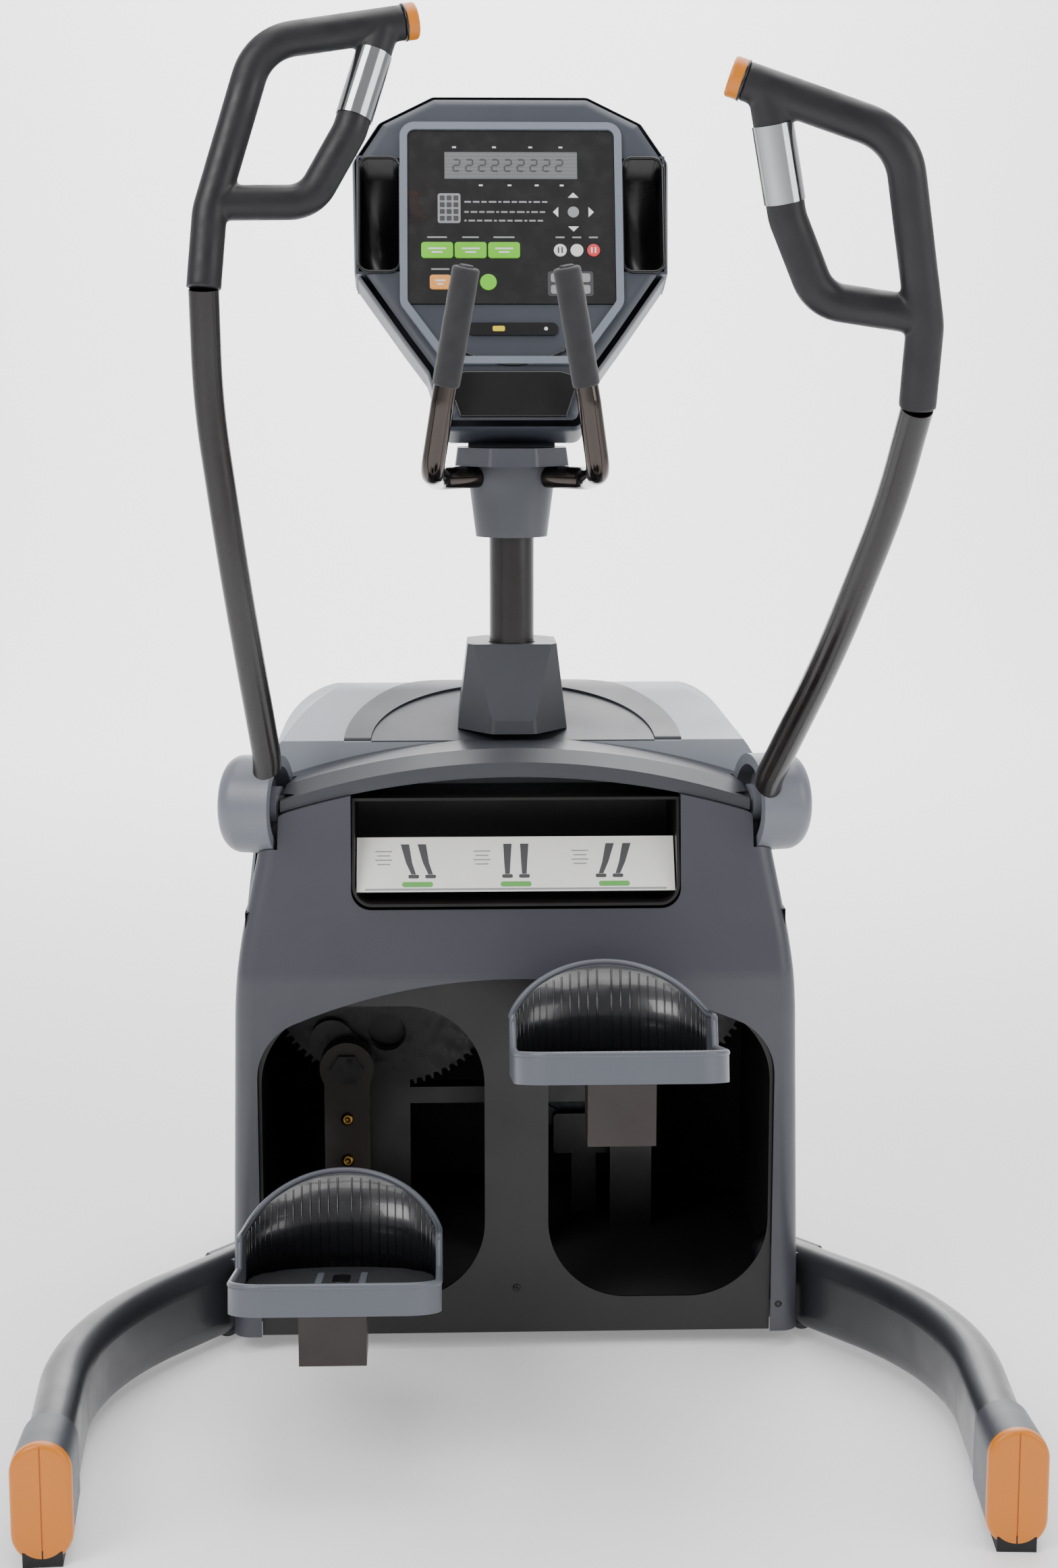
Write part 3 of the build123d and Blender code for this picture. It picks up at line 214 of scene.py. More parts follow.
def rounded(points, radius, steps=10):
    """A route through points with its corners turned into arcs."""
    points = [Vector(p) for p in points]
    route = [points[0]]
    for before, corner, after in zip(points, points[1:], points[2:]):
        into, away = (corner - before).normalized(), (after - corner).normalized()
        half = into.angle(away) / 2
        reach = radius * sin(half) / cos(half)
        centre = corner + (away - into).normalized() * (radius / cos(half))
        first, last = corner - into * reach, corner + away * reach
        for k in range(steps + 1):
            point = first.lerp(last, k / steps)
            route.append(centre + (point - centre).normalized() * radius)
    return route + [points[-1]]


def joined(parts):
    """Several (points, faces) pairs as one."""
    verts, faces = [], []
    for more_verts, more_faces in parts:
        start = len(verts)
        verts += list(more_verts)
        faces += [tuple(start + i for i in face) for face in more_faces]
    return verts, faces


def prism(outline, low, high, place):
    """A flat outline given thickness. place turns (across, up, proud) into a point."""
    count = len(outline)
    verts = [place(x, y, low) for x, y in outline] + [place(x, y, high) for x, y in outline]
    faces = [tuple(reversed(range(count))), tuple(range(count, 2 * count))]
    for k in range(count):
        n = (k + 1) % count
        faces.append((k, n, n + count, k + count))
    return verts, faces


def oblong(x, y, width, height, corner=0.0, steps=5):
    """The outline of a rectangle with round corners."""
    corner = min(corner, width / 2, height / 2)
    if corner <= 0:
        return [(x - width / 2, y - height / 2), (x + width / 2, y - height / 2),
                (x + width / 2, y + height / 2), (x - width / 2, y + height / 2)]
    points = []
    for quarter, (sx, sy) in enumerate(((1, 1), (-1, 1), (-1, -1), (1, -1))):
        for k in range(steps + 1):
            angle = (quarter + k / steps) * pi / 2
            points.append((x + sx * (width / 2 - corner) + corner * cos(angle),
                           y + sy * (height / 2 - corner) + corner * sin(angle)))
    return points


def on_console(across, up, proud):
    """A point on the console's face."""
    lean = radians(CONSOLE_LEAN)
    forward = up * sin(lean) - proud * cos(lean)
    rise = up * cos(lean) + proud * sin(lean)
    return CONSOLE_ORIGIN + Vector((across, forward, rise))


def swing(point, side):
    """Where a point of the right handlebar, given in the middle of its swing, lies at rest on one side."""
    axis = Vector((cos(radians(HUB_YAW)), sin(radians(HUB_YAW)), 0))
    turn = Matrix.Rotation(radians(HALF_SWING) * SIDES[side], 3, axis)
    place = HUB + turn @ (Vector(point) - HUB)
    return Vector((place.x * SIDES[side], place.y, place.z))


def pedal_place(side):
    """A function that turns (across, along, up) on one pedal into a point."""
    middle, tilt = PEDAL_MIDDLES[side], radians(PEDAL_TILT)
    along_line, up_line = Vector((0, cos(tilt), -sin(tilt))), Vector((0, sin(tilt), cos(tilt)))
    return lambda x, y, z: middle + Vector((x, 0, 0)) + along_line * y + up_line * z


def pedal_edge(inset, steps=18):
    """The pedal's outline, moved inward: it starts at the heel's left corner and runs round the toe."""
    half_x, half_y = PEDAL_WIDTH / 2 - inset, PEDAL_LENGTH / 2 - inset
    heel, toe = HEEL_CORNER - inset, TOE_CORNER - inset
    corners = (
        (-half_x + heel, -half_y + heel, heel, 270),
        (-half_x + toe, half_y - toe, toe, 180),
        (half_x - toe, half_y - toe, toe, 90),
        (half_x - heel, -half_y + heel, heel, 0),
    )
    points = []
    for cx, cy, radius, start in corners:
        for k in range(steps + 1):
            angle = radians(start - 90 * k / steps)
            points.append((cx + radius * cos(angle), cy + radius * sin(angle)))
    return points


# ---- Finishes -----------------------------------------------------------------------------------

materials = {}


def begin(name):
    """A new material with its shader and the place on the piece in metres."""
    material = bpy.data.materials.new(name)
    material.use_nodes = True
    tree = material.node_tree
    tree.nodes.clear()
    shader = add_node(tree, "ShaderNodeBsdfPrincipled")
    add_node(tree, "ShaderNodeOutputMaterial", {"Surface": shader.outputs[0]})
    place = add_node(tree, "ShaderNodeTexCoord").outputs["Object"]
    return material, tree, shader, place


def mottle(tree, place, base, spread, size):
    """A base colour that drifts a little lighter and darker over patches of this size in millimetres."""
    patches = add_node(tree, "ShaderNodeTexNoise", {"Vector": place, "Scale": 1000 / size, "Detail": 4.0})
    light = [min(1, c * (1 + spread)) for c in base[:3]] + [1]
    dark = [c * (1 - spread) for c in base[:3]] + [1]
    return add_node(tree, "ShaderNodeMix", {0: patches.outputs["Fac"], 6: dark, 7: light}, data_type="RGBA")


def worn_edges(tree, colour_socket, worn, amount):
    """Lighten the edges that hands and shoes rub."""
    edge = add_node(tree, "ShaderNodeNewGeometry").outputs["Pointiness"]
    sharp = {"Value": edge, "From Min": 0.52, "From Max": 0.62, "To Max": amount}
    ramp = add_node(tree, "ShaderNodeMapRange", sharp)
    return add_node(tree, "ShaderNodeMix", {0: ramp.outputs[0], 6: colour_socket, 7: worn}, data_type="RGBA")


def roughness_drift(tree, place, low, high, size):
    """Roughness that drifts between two values over patches of this size in millimetres."""
    patches = add_node(tree, "ShaderNodeTexNoise", {"Vector": place, "Scale": 1000 / size, "Detail": 6.0})
    drift = {"Value": patches.outputs["Fac"], "From Min": 0.3, "From Max": 0.7, "To Min": low, "To Max": high}
    return add_node(tree, "ShaderNodeMapRange", drift).outputs[0]


def relief(tree, height, strength, depth):
    """Bumps that follow a texture, this deep in metres."""
    return add_node(tree, "ShaderNodeBump", {"Height": height, "Strength": strength, "Distance": depth})


def moulded_abs(name, hex_value, rough=0.42, grain=1.1, depth=0.05, spread=0.05):
    """ABS, moulded with a fine spark-eroded grain: a soft highlight that the grain breaks up."""
    material, tree, shader, place = begin(name)
    base = linear(hex_value)
    tint = mottle(tree, place, base, spread, 160)
    worn = worn_edges(tree, tint.outputs[2], [min(1, c * 1.4 + 0.01) for c in base[:3]] + [1], 0.2)
    cell = {"Vector": place, "Scale": 1000 / grain}
    pits = add_node(tree, "ShaderNodeTexVoronoi", cell, feature="SMOOTH_F1")
    bump = relief(tree, pits.outputs["Distance"], depth, 0.0003)
    tree.links.new(worn.outputs[2], shader.inputs["Base Color"])
    tree.links.new(roughness_drift(tree, place, rough - 0.05, rough + 0.06, 90), shader.inputs["Roughness"])
    tree.links.new(bump.outputs[0], shader.inputs["Normal"])
    shader.inputs["IOR"].default_value = 1.53
    return material


def powder_coat(name, hex_value, rough=0.36):
    """Mild steel, powder coated: the melted powder leaves shallow orange peel under a satin gloss."""
    material, tree, shader, place = begin(name)
    tint = mottle(tree, place, linear(hex_value), 0.08, 60)
    peel = add_node(tree, "ShaderNodeTexNoise", {"Vector": place, "Scale": 1000 / 2.2, "Detail": 2.0})
    bump = relief(tree, peel.outputs["Fac"], 0.12, 0.0004)
    tree.links.new(tint.outputs[2], shader.inputs["Base Color"])
    tree.links.new(roughness_drift(tree, place, rough - 0.06, rough + 0.06, 45), shader.inputs["Roughness"])
    tree.links.new(bump.outputs[0], shader.inputs["Normal"])
    shader.inputs["Coat Weight"].default_value = 0.25
    shader.inputs["Coat Roughness"].default_value = 0.18
    return material


def chrome_plate(name, hex_value):
    """Steel, polished and chrome plated: a mirror with faint wiping marks."""
    material, tree, shader, place = begin(name)
    tint = mottle(tree, place, linear(hex_value), 0.03, 30)
    tree.links.new(tint.outputs[2], shader.inputs["Base Color"])
    tree.links.new(roughness_drift(tree, place, 0.06, 0.16, 18), shader.inputs["Roughness"])
    shader.inputs["Metallic"].default_value = 1.0
    return material


def machined_steel(name, hex_value, spacing=0.8, rough=0.34):
    """Metal, machined: a fine uneven grain that breaks up the highlight."""
    material, tree, shader, place = begin(name)
    tint = mottle(tree, place, linear(hex_value), 0.12, 22)
    marks = add_node(tree, "ShaderNodeTexNoise", {"Vector": place, "Scale": 1000 / spacing, "Detail": 1.0})
    bump = relief(tree, marks.outputs["Fac"], 0.15, 0.0002)
    tree.links.new(tint.outputs[2], shader.inputs["Base Color"])
    tree.links.new(roughness_drift(tree, place, rough - 0.1, rough + 0.1, 12), shader.inputs["Roughness"])
    tree.links.new(bump.outputs[0], shader.inputs["Normal"])
    shader.inputs["Metallic"].default_value = 1.0
    return material


def cell_foam(name, hex_value, cell=0.9):
    """NBR foam, extruded: tiny open cells, drawn a little coarse to show, and a dusty edge glow."""
    material, tree, shader, place = begin(name)
    tint = mottle(tree, place, linear(hex_value), 0.18, 14)
    cells = add_node(tree, "ShaderNodeTexVoronoi", {"Vector": place, "Scale": 1000 / cell})
    bump = relief(tree, cells.outputs["Distance"], 0.5, 0.0004)
    tree.links.new(tint.outputs[2], shader.inputs["Base Color"])
    tree.links.new(roughness_drift(tree, place, 0.72, 0.86, 20), shader.inputs["Roughness"])
    tree.links.new(bump.outputs[0], shader.inputs["Normal"])
    shader.inputs["Sheen Weight"].default_value = 0.25
    return material


def moulded_rubber(name, hex_value, rough=0.5, grain=0.8, strength=0.2):
    """TPE rubber, moulded: a dull skin, polished here and there by hands and shoes."""
    material, tree, shader, place = begin(name)
    tint = mottle(tree, place, linear(hex_value), 0.14, 35)
    skin = add_node(tree, "ShaderNodeTexNoise", {"Vector": place, "Scale": 1000 / grain, "Detail": 3.0})
    bump = relief(tree, skin.outputs["Fac"], strength, 0.0004)
    tree.links.new(tint.outputs[2], shader.inputs["Base Color"])
    tree.links.new(roughness_drift(tree, place, rough - 0.12, rough + 0.12, 40), shader.inputs["Roughness"])
    tree.links.new(bump.outputs[0], shader.inputs["Normal"])
    shader.inputs["Specular IOR Level"].default_value = 0.42
    return material


def printed_film(name, hex_value, rough=0.2):
    """Polycarbonate film, printed behind: an even colour under a smooth gloss with finger marks."""
    material, tree, shader, place = begin(name)
    tint = mottle(tree, place, linear(hex_value), 0.04, 50)
    tree.links.new(tint.outputs[2], shader.inputs["Base Color"])
    tree.links.new(roughness_drift(tree, place, rough - 0.05, rough + 0.14, 25), shader.inputs["Roughness"])
    shader.inputs["IOR"].default_value = 1.58
    shader.inputs["Coat Weight"].default_value = 0.3
    return material


def display_glass(name):
    """Acrylic over a grey dot display: a faint dot grid under gloss."""
    material, tree, shader, place = begin(name)
    dots = add_node(tree, "ShaderNodeTexVoronoi", {"Vector": place, "Scale": 1000 / 1.6, "Randomness": 0.0})
    shade = {0: dots.outputs["Distance"], 6: linear("#5d5f62"), 7: linear("#858789")}
    tint = add_node(tree, "ShaderNodeMix", shade, data_type="RGBA")
    tree.links.new(tint.outputs[2], shader.inputs["Base Color"])
    tree.links.new(roughness_drift(tree, place, 0.08, 0.2, 30), shader.inputs["Roughness"])
    shader.inputs["Coat Weight"].default_value = 0.5
    return material


# ---- Operators ----------------------------------------------------------------------------------


class TRAINER_OT_finishes(bpy.types.Operator):
    """Make the finishes and give each CAD node its own"""

    bl_idname = "trainer.finishes"
    bl_label = "Finishes"

    def execute(self, context):
        c, grain = context.scene.trainer_colours, context.scene.trainer_sizes.grain
        materials.update({
            "hood_plastic": moulded_abs("abs_satin_hood", c.hood, 0.36, grain),
            "bridge_plastic": moulded_abs("abs_satin_bridge", c.bridge, 0.34, grain),
            "front_plastic": moulded_abs("abs_satin_dome", c.dome, 0.4, grain),
            "dark_plastic": moulded_abs("abs_satin_dark", c.bridge, 0.4, grain),
            "panel_plastic": moulded_abs("abs_leather_grain_panel", c.panel, 0.42, 2.0, 0.12, 0.12),
            "placard_print": printed_film("vinyl_printed_placard", "#e9e8e4", 0.35),
            "mast_paint": powder_coat("steel_powder_coat_mast", "#181412", 0.3),
            "cuff_plastic": moulded_abs("abs_satin_cuff", "#4c4e55", 0.4, grain),
            "console_plastic": moulded_abs("abs_satin_console", c.console, 0.38, grain),
            "bezel_plastic": moulded_abs("abs_silver_bezel", c.bezel, 0.3, grain),
            "overlay_film": printed_film("polycarbonate_black_overlay", "#151416"),
            "display_glass": display_glass("acrylic_grey_display"),
            "green_key": printed_film("silicone_green_key", c.start_key, 0.4),
            "orange_key": printed_film("silicone_orange_key", "#f0a04a", 0.4),
            "white_key": printed_film("silicone_white_key", "#dededc", 0.4),
            "red_key": printed_film("silicone_red_key", "#e0383c", 0.4),
            "chrome": chrome_plate("steel_chrome_plate", "#b4b6b8"),
            "dark_chrome": chrome_plate("steel_black_chrome_plate", "#4c4643"),
            "foam_grip": cell_foam("nbr_foam_grip", "#232326"),
            "rubber_grip": moulded_rubber("tpe_moulded_grip", c.grip, 0.46, 1.4, 0.14),
            "button_plastic": moulded_abs("abs_button", "#303034", 0.45, grain),
            "machined_steel": machined_steel("steel_machined", "#3a3a3b"),
            "black_steel": powder_coat("steel_powder_coat_frame", c.steel, 0.42),
            "cast_iron": machined_steel("cast_iron_turned", "#333436", 1.6, 0.45),
            "belt_rubber": moulded_rubber("rubber_ribbed_belt", "#1a1a1b", 0.6),
            "foot_rubber": moulded_rubber("rubber_moulded_foot", "#19191a", 0.7, 1.2, 0.3),
            "arm_paint": powder_coat("steel_powder_coat_arm", "#1f0e07", 0.46),
            "pedal_plastic": moulded_abs("nylon_satin_pedal", c.pedal, 0.4, grain),
            "pad_rubber": moulded_rubber("tpe_ringed_pad", c.pad, 0.62, 1.0, 0.25),
            "leg_paint": powder_coat("steel_powder_coat_leg", c.leg, 0.34),
            "sleeve_plastic": moulded_abs("abs_satin_sleeve", "#32353c", 0.42, grain),
            "orange_plastic": moulded_abs("abs_orange_cap", c.accent, 0.36, grain),
            "hub_plastic": moulded_abs("abs_satin_hub", "#6b6e76", 0.36, grain),
            "handle_paint": powder_coat("steel_powder_coat_handle", "#171312", 0.26),
            "white_ink": printed_film("ink_white", "#e4e4e2", 0.5),
            "grey_ink": printed_film("ink_grey", "#8f9092", 0.5),
            "green_ink": printed_film("ink_green", "#58a548", 0.5),
            "dark_ink": printed_film("ink_dark", "#3b3b3f", 0.5),
            "smoked": printed_film("polycarbonate_smoked_liner", "#17181c", 0.24),
            "brass": machined_steel("brass_zinc_plated_bolt", "#b08d4a", 0.6, 0.28),
            "yellow": moulded_abs("abs_yellow_contact", "#e6c81e", 0.4, grain),
            "black_plastic": moulded_abs("abs_black_gloss", "#0f0f11", 0.24, grain),
            # Painted shade: a black sheet inside the housing that darkens what is seen through the ports
            "lining": moulded_abs("black_sheet_painted_shade", "#070707", 0.7, 2.0),
        })
        for row in frame["record"]["subparts"]:
            nodes[row["node"]].data.materials.clear()
            nodes[row["node"]].data.materials.append(materials[row["material_slot"]])
        nodes["fixed_handles"].data.materials[0] = materials["dark_chrome"]
        for node in nodes.values():
            for face in node.data.polygons:
                face.use_smooth = True
            node.data.set_sharp_from_angle(angle=radians(28))
        return {"FINISHED"}


class TRAINER_OT_handle_grips(bpy.types.Operator):
    """Mould each handlebar's closed loop of rubber as one skin with soft joints"""

    bl_idname = "trainer.handle_grips"
    bl_label = "Handlebar grips"

    outer_bend: FloatProperty(name="Outer bend", description="Bend of the outer bar, in millimetres",
                              default=68)
    inner_bend: FloatProperty(name="Inner bend", description="Bend of the inner bar, in millimetres",
                              default=44)
    radius: FloatProperty(name="Radius", description="Radius of the bars, in millimetres", default=21.3)
    cap_depth: FloatProperty(name="Cap depth", description="Length of the cap on the outer bar's end",
                             default=16)

    def execute(self, context):
        cap_line = (Vector(OUTER_LOOP[3]) - Vector(OUTER_LOOP[2])).normalized()
        bar_end = Vector(OUTER_LOOP[3]) - cap_line * self.cap_depth
        outer = rounded([*OUTER_LOOP[:3], bar_end], self.outer_bend)
        inner = rounded([*INNER_LOOP[:3], Vector(INNER_LOOP[3])], self.inner_bend)
        for side in SIDES:
            bars = joined([swept([swing(p, side) for p in line], self.radius) for line in (outer, inner)])
            grip = link_piece(f"grip_loop_{side}", mesh_of(f"grip_loop_{side}", *bars),
                              materials["rubber_grip"], f"handlebar_{side}")
            skin = grip.modifiers.new("skin", "REMESH")
            skin.mode, skin.use_smooth_shade = "VOXEL", True
            skin.voxel_size = context.scene.trainer_sizes.weld
            ease = grip.modifiers.new("ease", "SMOOTH")
            ease.iterations, ease.factor = 6, 0.5
            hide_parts(f"handle_grip_{side}")
            self.end_ring(side, cap_line)
        return {"FINISHED"}

    def end_ring(self, side, cap_line):
        """The dark ring between the rubber and the orange cap."""
        end = Vector(OUTER_LOOP[3])
        line = (swing(end, side) - swing(end - cap_line, side)).normalized()
        ring = turned([(-1.4, 19), (-1.4, 22.4), (-0.4, 22.8), (0.9, 22.8), (1.6, 22.2), (1.6, 19)],
                      swing(end - cap_line * self.cap_depth, side), line)
        link_piece(f"grip_ring_{side}", mesh_of(f"grip_ring_{side}", *ring),
                   materials["black_plastic"], f"handlebar_{side}")


class TRAINER_OT_foam_grips(bpy.types.Operator):
    """Cut the foam of the fixed grips, with a soft bead at each end"""

    bl_idname = "trainer.foam_grips"
    bl_label = "Foam grips"

    radius: FloatProperty(name="Radius", description="Radius of the foam, in millimetres", default=17.4)

    def execute(self, context):
        start, end = FIXED_GRIP
        length = (end - start).length + 12
        for side, sign in SIDES.items():
            flip = Vector((sign, 1, 1))
            line = (end - start) * flip
            profile = self.profile(length)
            mesh = mesh_of(f"foam_grip_{side}", *turned(profile, start * flip, line))
            grip = link_piece(f"foam_grip_{side}", mesh, materials["foam_grip"], "frame")
            if side == "right":
                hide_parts("fixed_grips")
        return {"FINISHED"}

    def profile(self, length):
        """The foam's outline as (along, radius) pairs, with a slight wave along its middle."""
        outer = self.radius
        start = [(22, 15.2), (22.4, outer - 1.6), (24, outer - 0.3), (27, outer)]
        middle = [(27 + (length - 34) * k / 12, outer + 0.25 * sin(2.2 * k)) for k in range(1, 12)]
        end = [(length - 4, outer), (length - 1.2, outer - 0.8), (length, outer - 3),
               (length, 9.8), (length - 4, 9.6)]
        return start + middle + end


class TRAINER_OT_pedals(bpy.types.Operator):
    """Lay the ringed pads, the light stripes, the smoked toe liners, their ribs and the rims"""

    bl_idname = "trainer.pedals"
    bl_label = "Pedal pads and rims"

    pad_top: FloatProperty(name="Pad top", description="Top of the pad above the pedal's underside",
                           default=12.6)
    cell: FloatProperty(name="Pad mesh", description="Size of one face of the pad, in millimetres",
                        default=1.9)

    def execute(self, context):
        spacing = context.scene.trainer_sizes.pad_ring
        for side in SIDES:
            place = pedal_place(side)
            self.pad(side, place, spacing)
            self.stripes(side, place)
            self.liner(side, place, context.scene.trainer_sizes.ribs)
            self.rim(side, place)
        return {"FINISHED"}

    def pad(self, side, place, spacing):
        """A rubber sheet with raised rings round its middle and a round edge."""
        edge = pedal_edge(PEDAL_WALL + 1.5)
        half_x, half_y = PEDAL_WIDTH / 2 - PEDAL_WALL - 1.5, PEDAL_LENGTH / 2 - PEDAL_WALL - 1.5
        across, along = int(2 * half_x / self.cell), int(2 * half_y / self.cell)
        rows = {}
        for j in range(along + 1):
            y = -half_y + 2 * half_y * j / along
            rows[j] = self.width_at(edge, y)
        verts, faces = [], []
        for j in range(along + 1):
            y = -half_y + 2 * half_y * j / along
            for i in range(across + 1):
                x = rows[j] * (2 * i / across - 1)
                rim = min(1, (half_y - abs(y)) / 3, (rows[j] - abs(x)) / 3)
                ring = 0.5 + 0.5 * cos(2 * pi * hypot(x, (y + 20) * 0.86) / spacing)
                height = self.pad_top - 2.2 * (1 - max(rim, 0)) ** 2 + 1.1 * ring ** 1.6 * rim
                verts.append(place(x, y, height))
        for j in range(along):
            for i in range(across):
                a = j * (across + 1) + i
                faces.append((a, a + 1, a + across + 2, a + across + 1))
        pad = link_piece(f"ringed_pad_{side}", mesh_of(f"ringed_pad_{side}", verts, faces),
                         materials["pad_rubber"], f"pedal_{side}")
        sheet = pad.modifiers.new("sheet", "SOLIDIFY")
        sheet.thickness, sheet.offset = 3.6 * MM, -1
        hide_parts(f"pedal_pad_{side}")

    def width_at(self, edge, y):
        """Half the pedal's width at this place along it."""
        best = 1.0
        for (x0, y0), (x1, y1) in zip(edge, edge[1:]):
            low, high = min(y0, y1), max(y0, y1)
            if low <= y <= high and x0 < 0 and x1 <= 0:
                share = 0.5 if high == low else (y - y0) / (y1 - y0)
                best = max(best, -(x0 + (x1 - x0) * share))
        return best

    def stripes(self, side, place):
        """Two light strips down the middle of the pad, and the oval slot between them."""
        top = self.pad_top + 0.5
        for name, x in (("left", -27), ("right", 27)):
            mesh = mesh_of("pad_strip", *prism(oblong(x, -12, 9, 236, 4.5), top - 3, top + 1.2, place))
            strip = link_piece(f"pad_strip_{name}_{side}", mesh, materials["pedal_plastic"],
                               f"pedal_{side}")
            soften(strip, 0.8)
        mesh = mesh_of("pad_slot", *prism(oblong(0, 52, 22, 74, 11), top - 3, top + 1.0, place))
        soften(link_piece(f"pad_slot_{side}", mesh, materials["black_plastic"], f"pedal_{side}"), 0.8)

    def rim_height(self, x, y):
        """The rim's height above the pedal's underside: level at the heel, an arch over the toe."""
        if y < PEDAL_LENGTH / 2 - TOE_RISE_START:
            return PEDAL_FLOOR + HEEL_RISE
        share = min(abs(x) / (PEDAL_WIDTH / 2 + PEDAL_WALL), 1)
        return PEDAL_FLOOR + HEEL_RISE + (TOE_RISE - HEEL_RISE) * (1 - share ** 2) ** 0.5

    def liner(self, side, place, ribs):
        """The smoked wall inside the toe, with upright ribs."""
        edge = [p for p in pedal_edge(PEDAL_WALL + 0.5) if p[1] > -20]
        verts, faces = [], []
        for x, y in edge:
            verts.append(place(x, y, self.pad_top - 3))
            verts.append(place(x, y, max(self.rim_height(x, y) - 5, self.pad_top)))
        for k in range(len(edge) - 1):
            faces.append((2 * k, 2 * k + 2, 2 * k + 3, 2 * k + 1))
        liner = link_piece(f"toe_liner_{side}", mesh_of("toe_liner", verts, faces), materials["smoked"],
                           f"pedal_{side}")
        sheet = liner.modifiers.new("sheet", "SOLIDIFY")
        sheet.thickness, sheet.offset = 0.5 * MM, 0
        parts = []
        for k in range(ribs):
            spot = (k + 0.5) / ribs * (len(edge) - 1)
            (x0, y0), (x1, y1) = edge[int(spot)], edge[int(spot) + 1]
            x, y = x0 + (x1 - x0) * (spot % 1), y0 + (y1 - y0) * (spot % 1)
            top = self.rim_height(x, y) - 9
            if top > self.pad_top + 8:
                parts.append(swept([place(x, y, self.pad_top - 1), place(x, y, top)], 1.3, 10))
        mesh = mesh_of("toe_ribs", *joined(parts))
        link_piece(f"toe_ribs_{side}", mesh, materials["smoked"], f"pedal_{side}")

    def rim(self, side, place):
        """A round bead along the top of the tray's wall."""
        longest = 8
        route = []
        edge = pedal_edge(PEDAL_WALL / 2)
        for (x0, y0), (x1, y1) in zip(edge, edge[1:] + edge[:1]):
            pieces = max(1, int(hypot(x1 - x0, y1 - y0) / longest))
            for k in range(pieces):
                x, y = x0 + (x1 - x0) * k / pieces, y0 + (y1 - y0) * k / pieces
                route.append(place(x, y, self.rim_height(x, y) - 0.5))
        bead = swept([*route, route[0], route[1]], 4.2, 14)
        link_piece(f"pedal_rim_{side}", mesh_of("pedal_rim", *bead), materials["pedal_plastic"],
                   f"pedal_{side}")


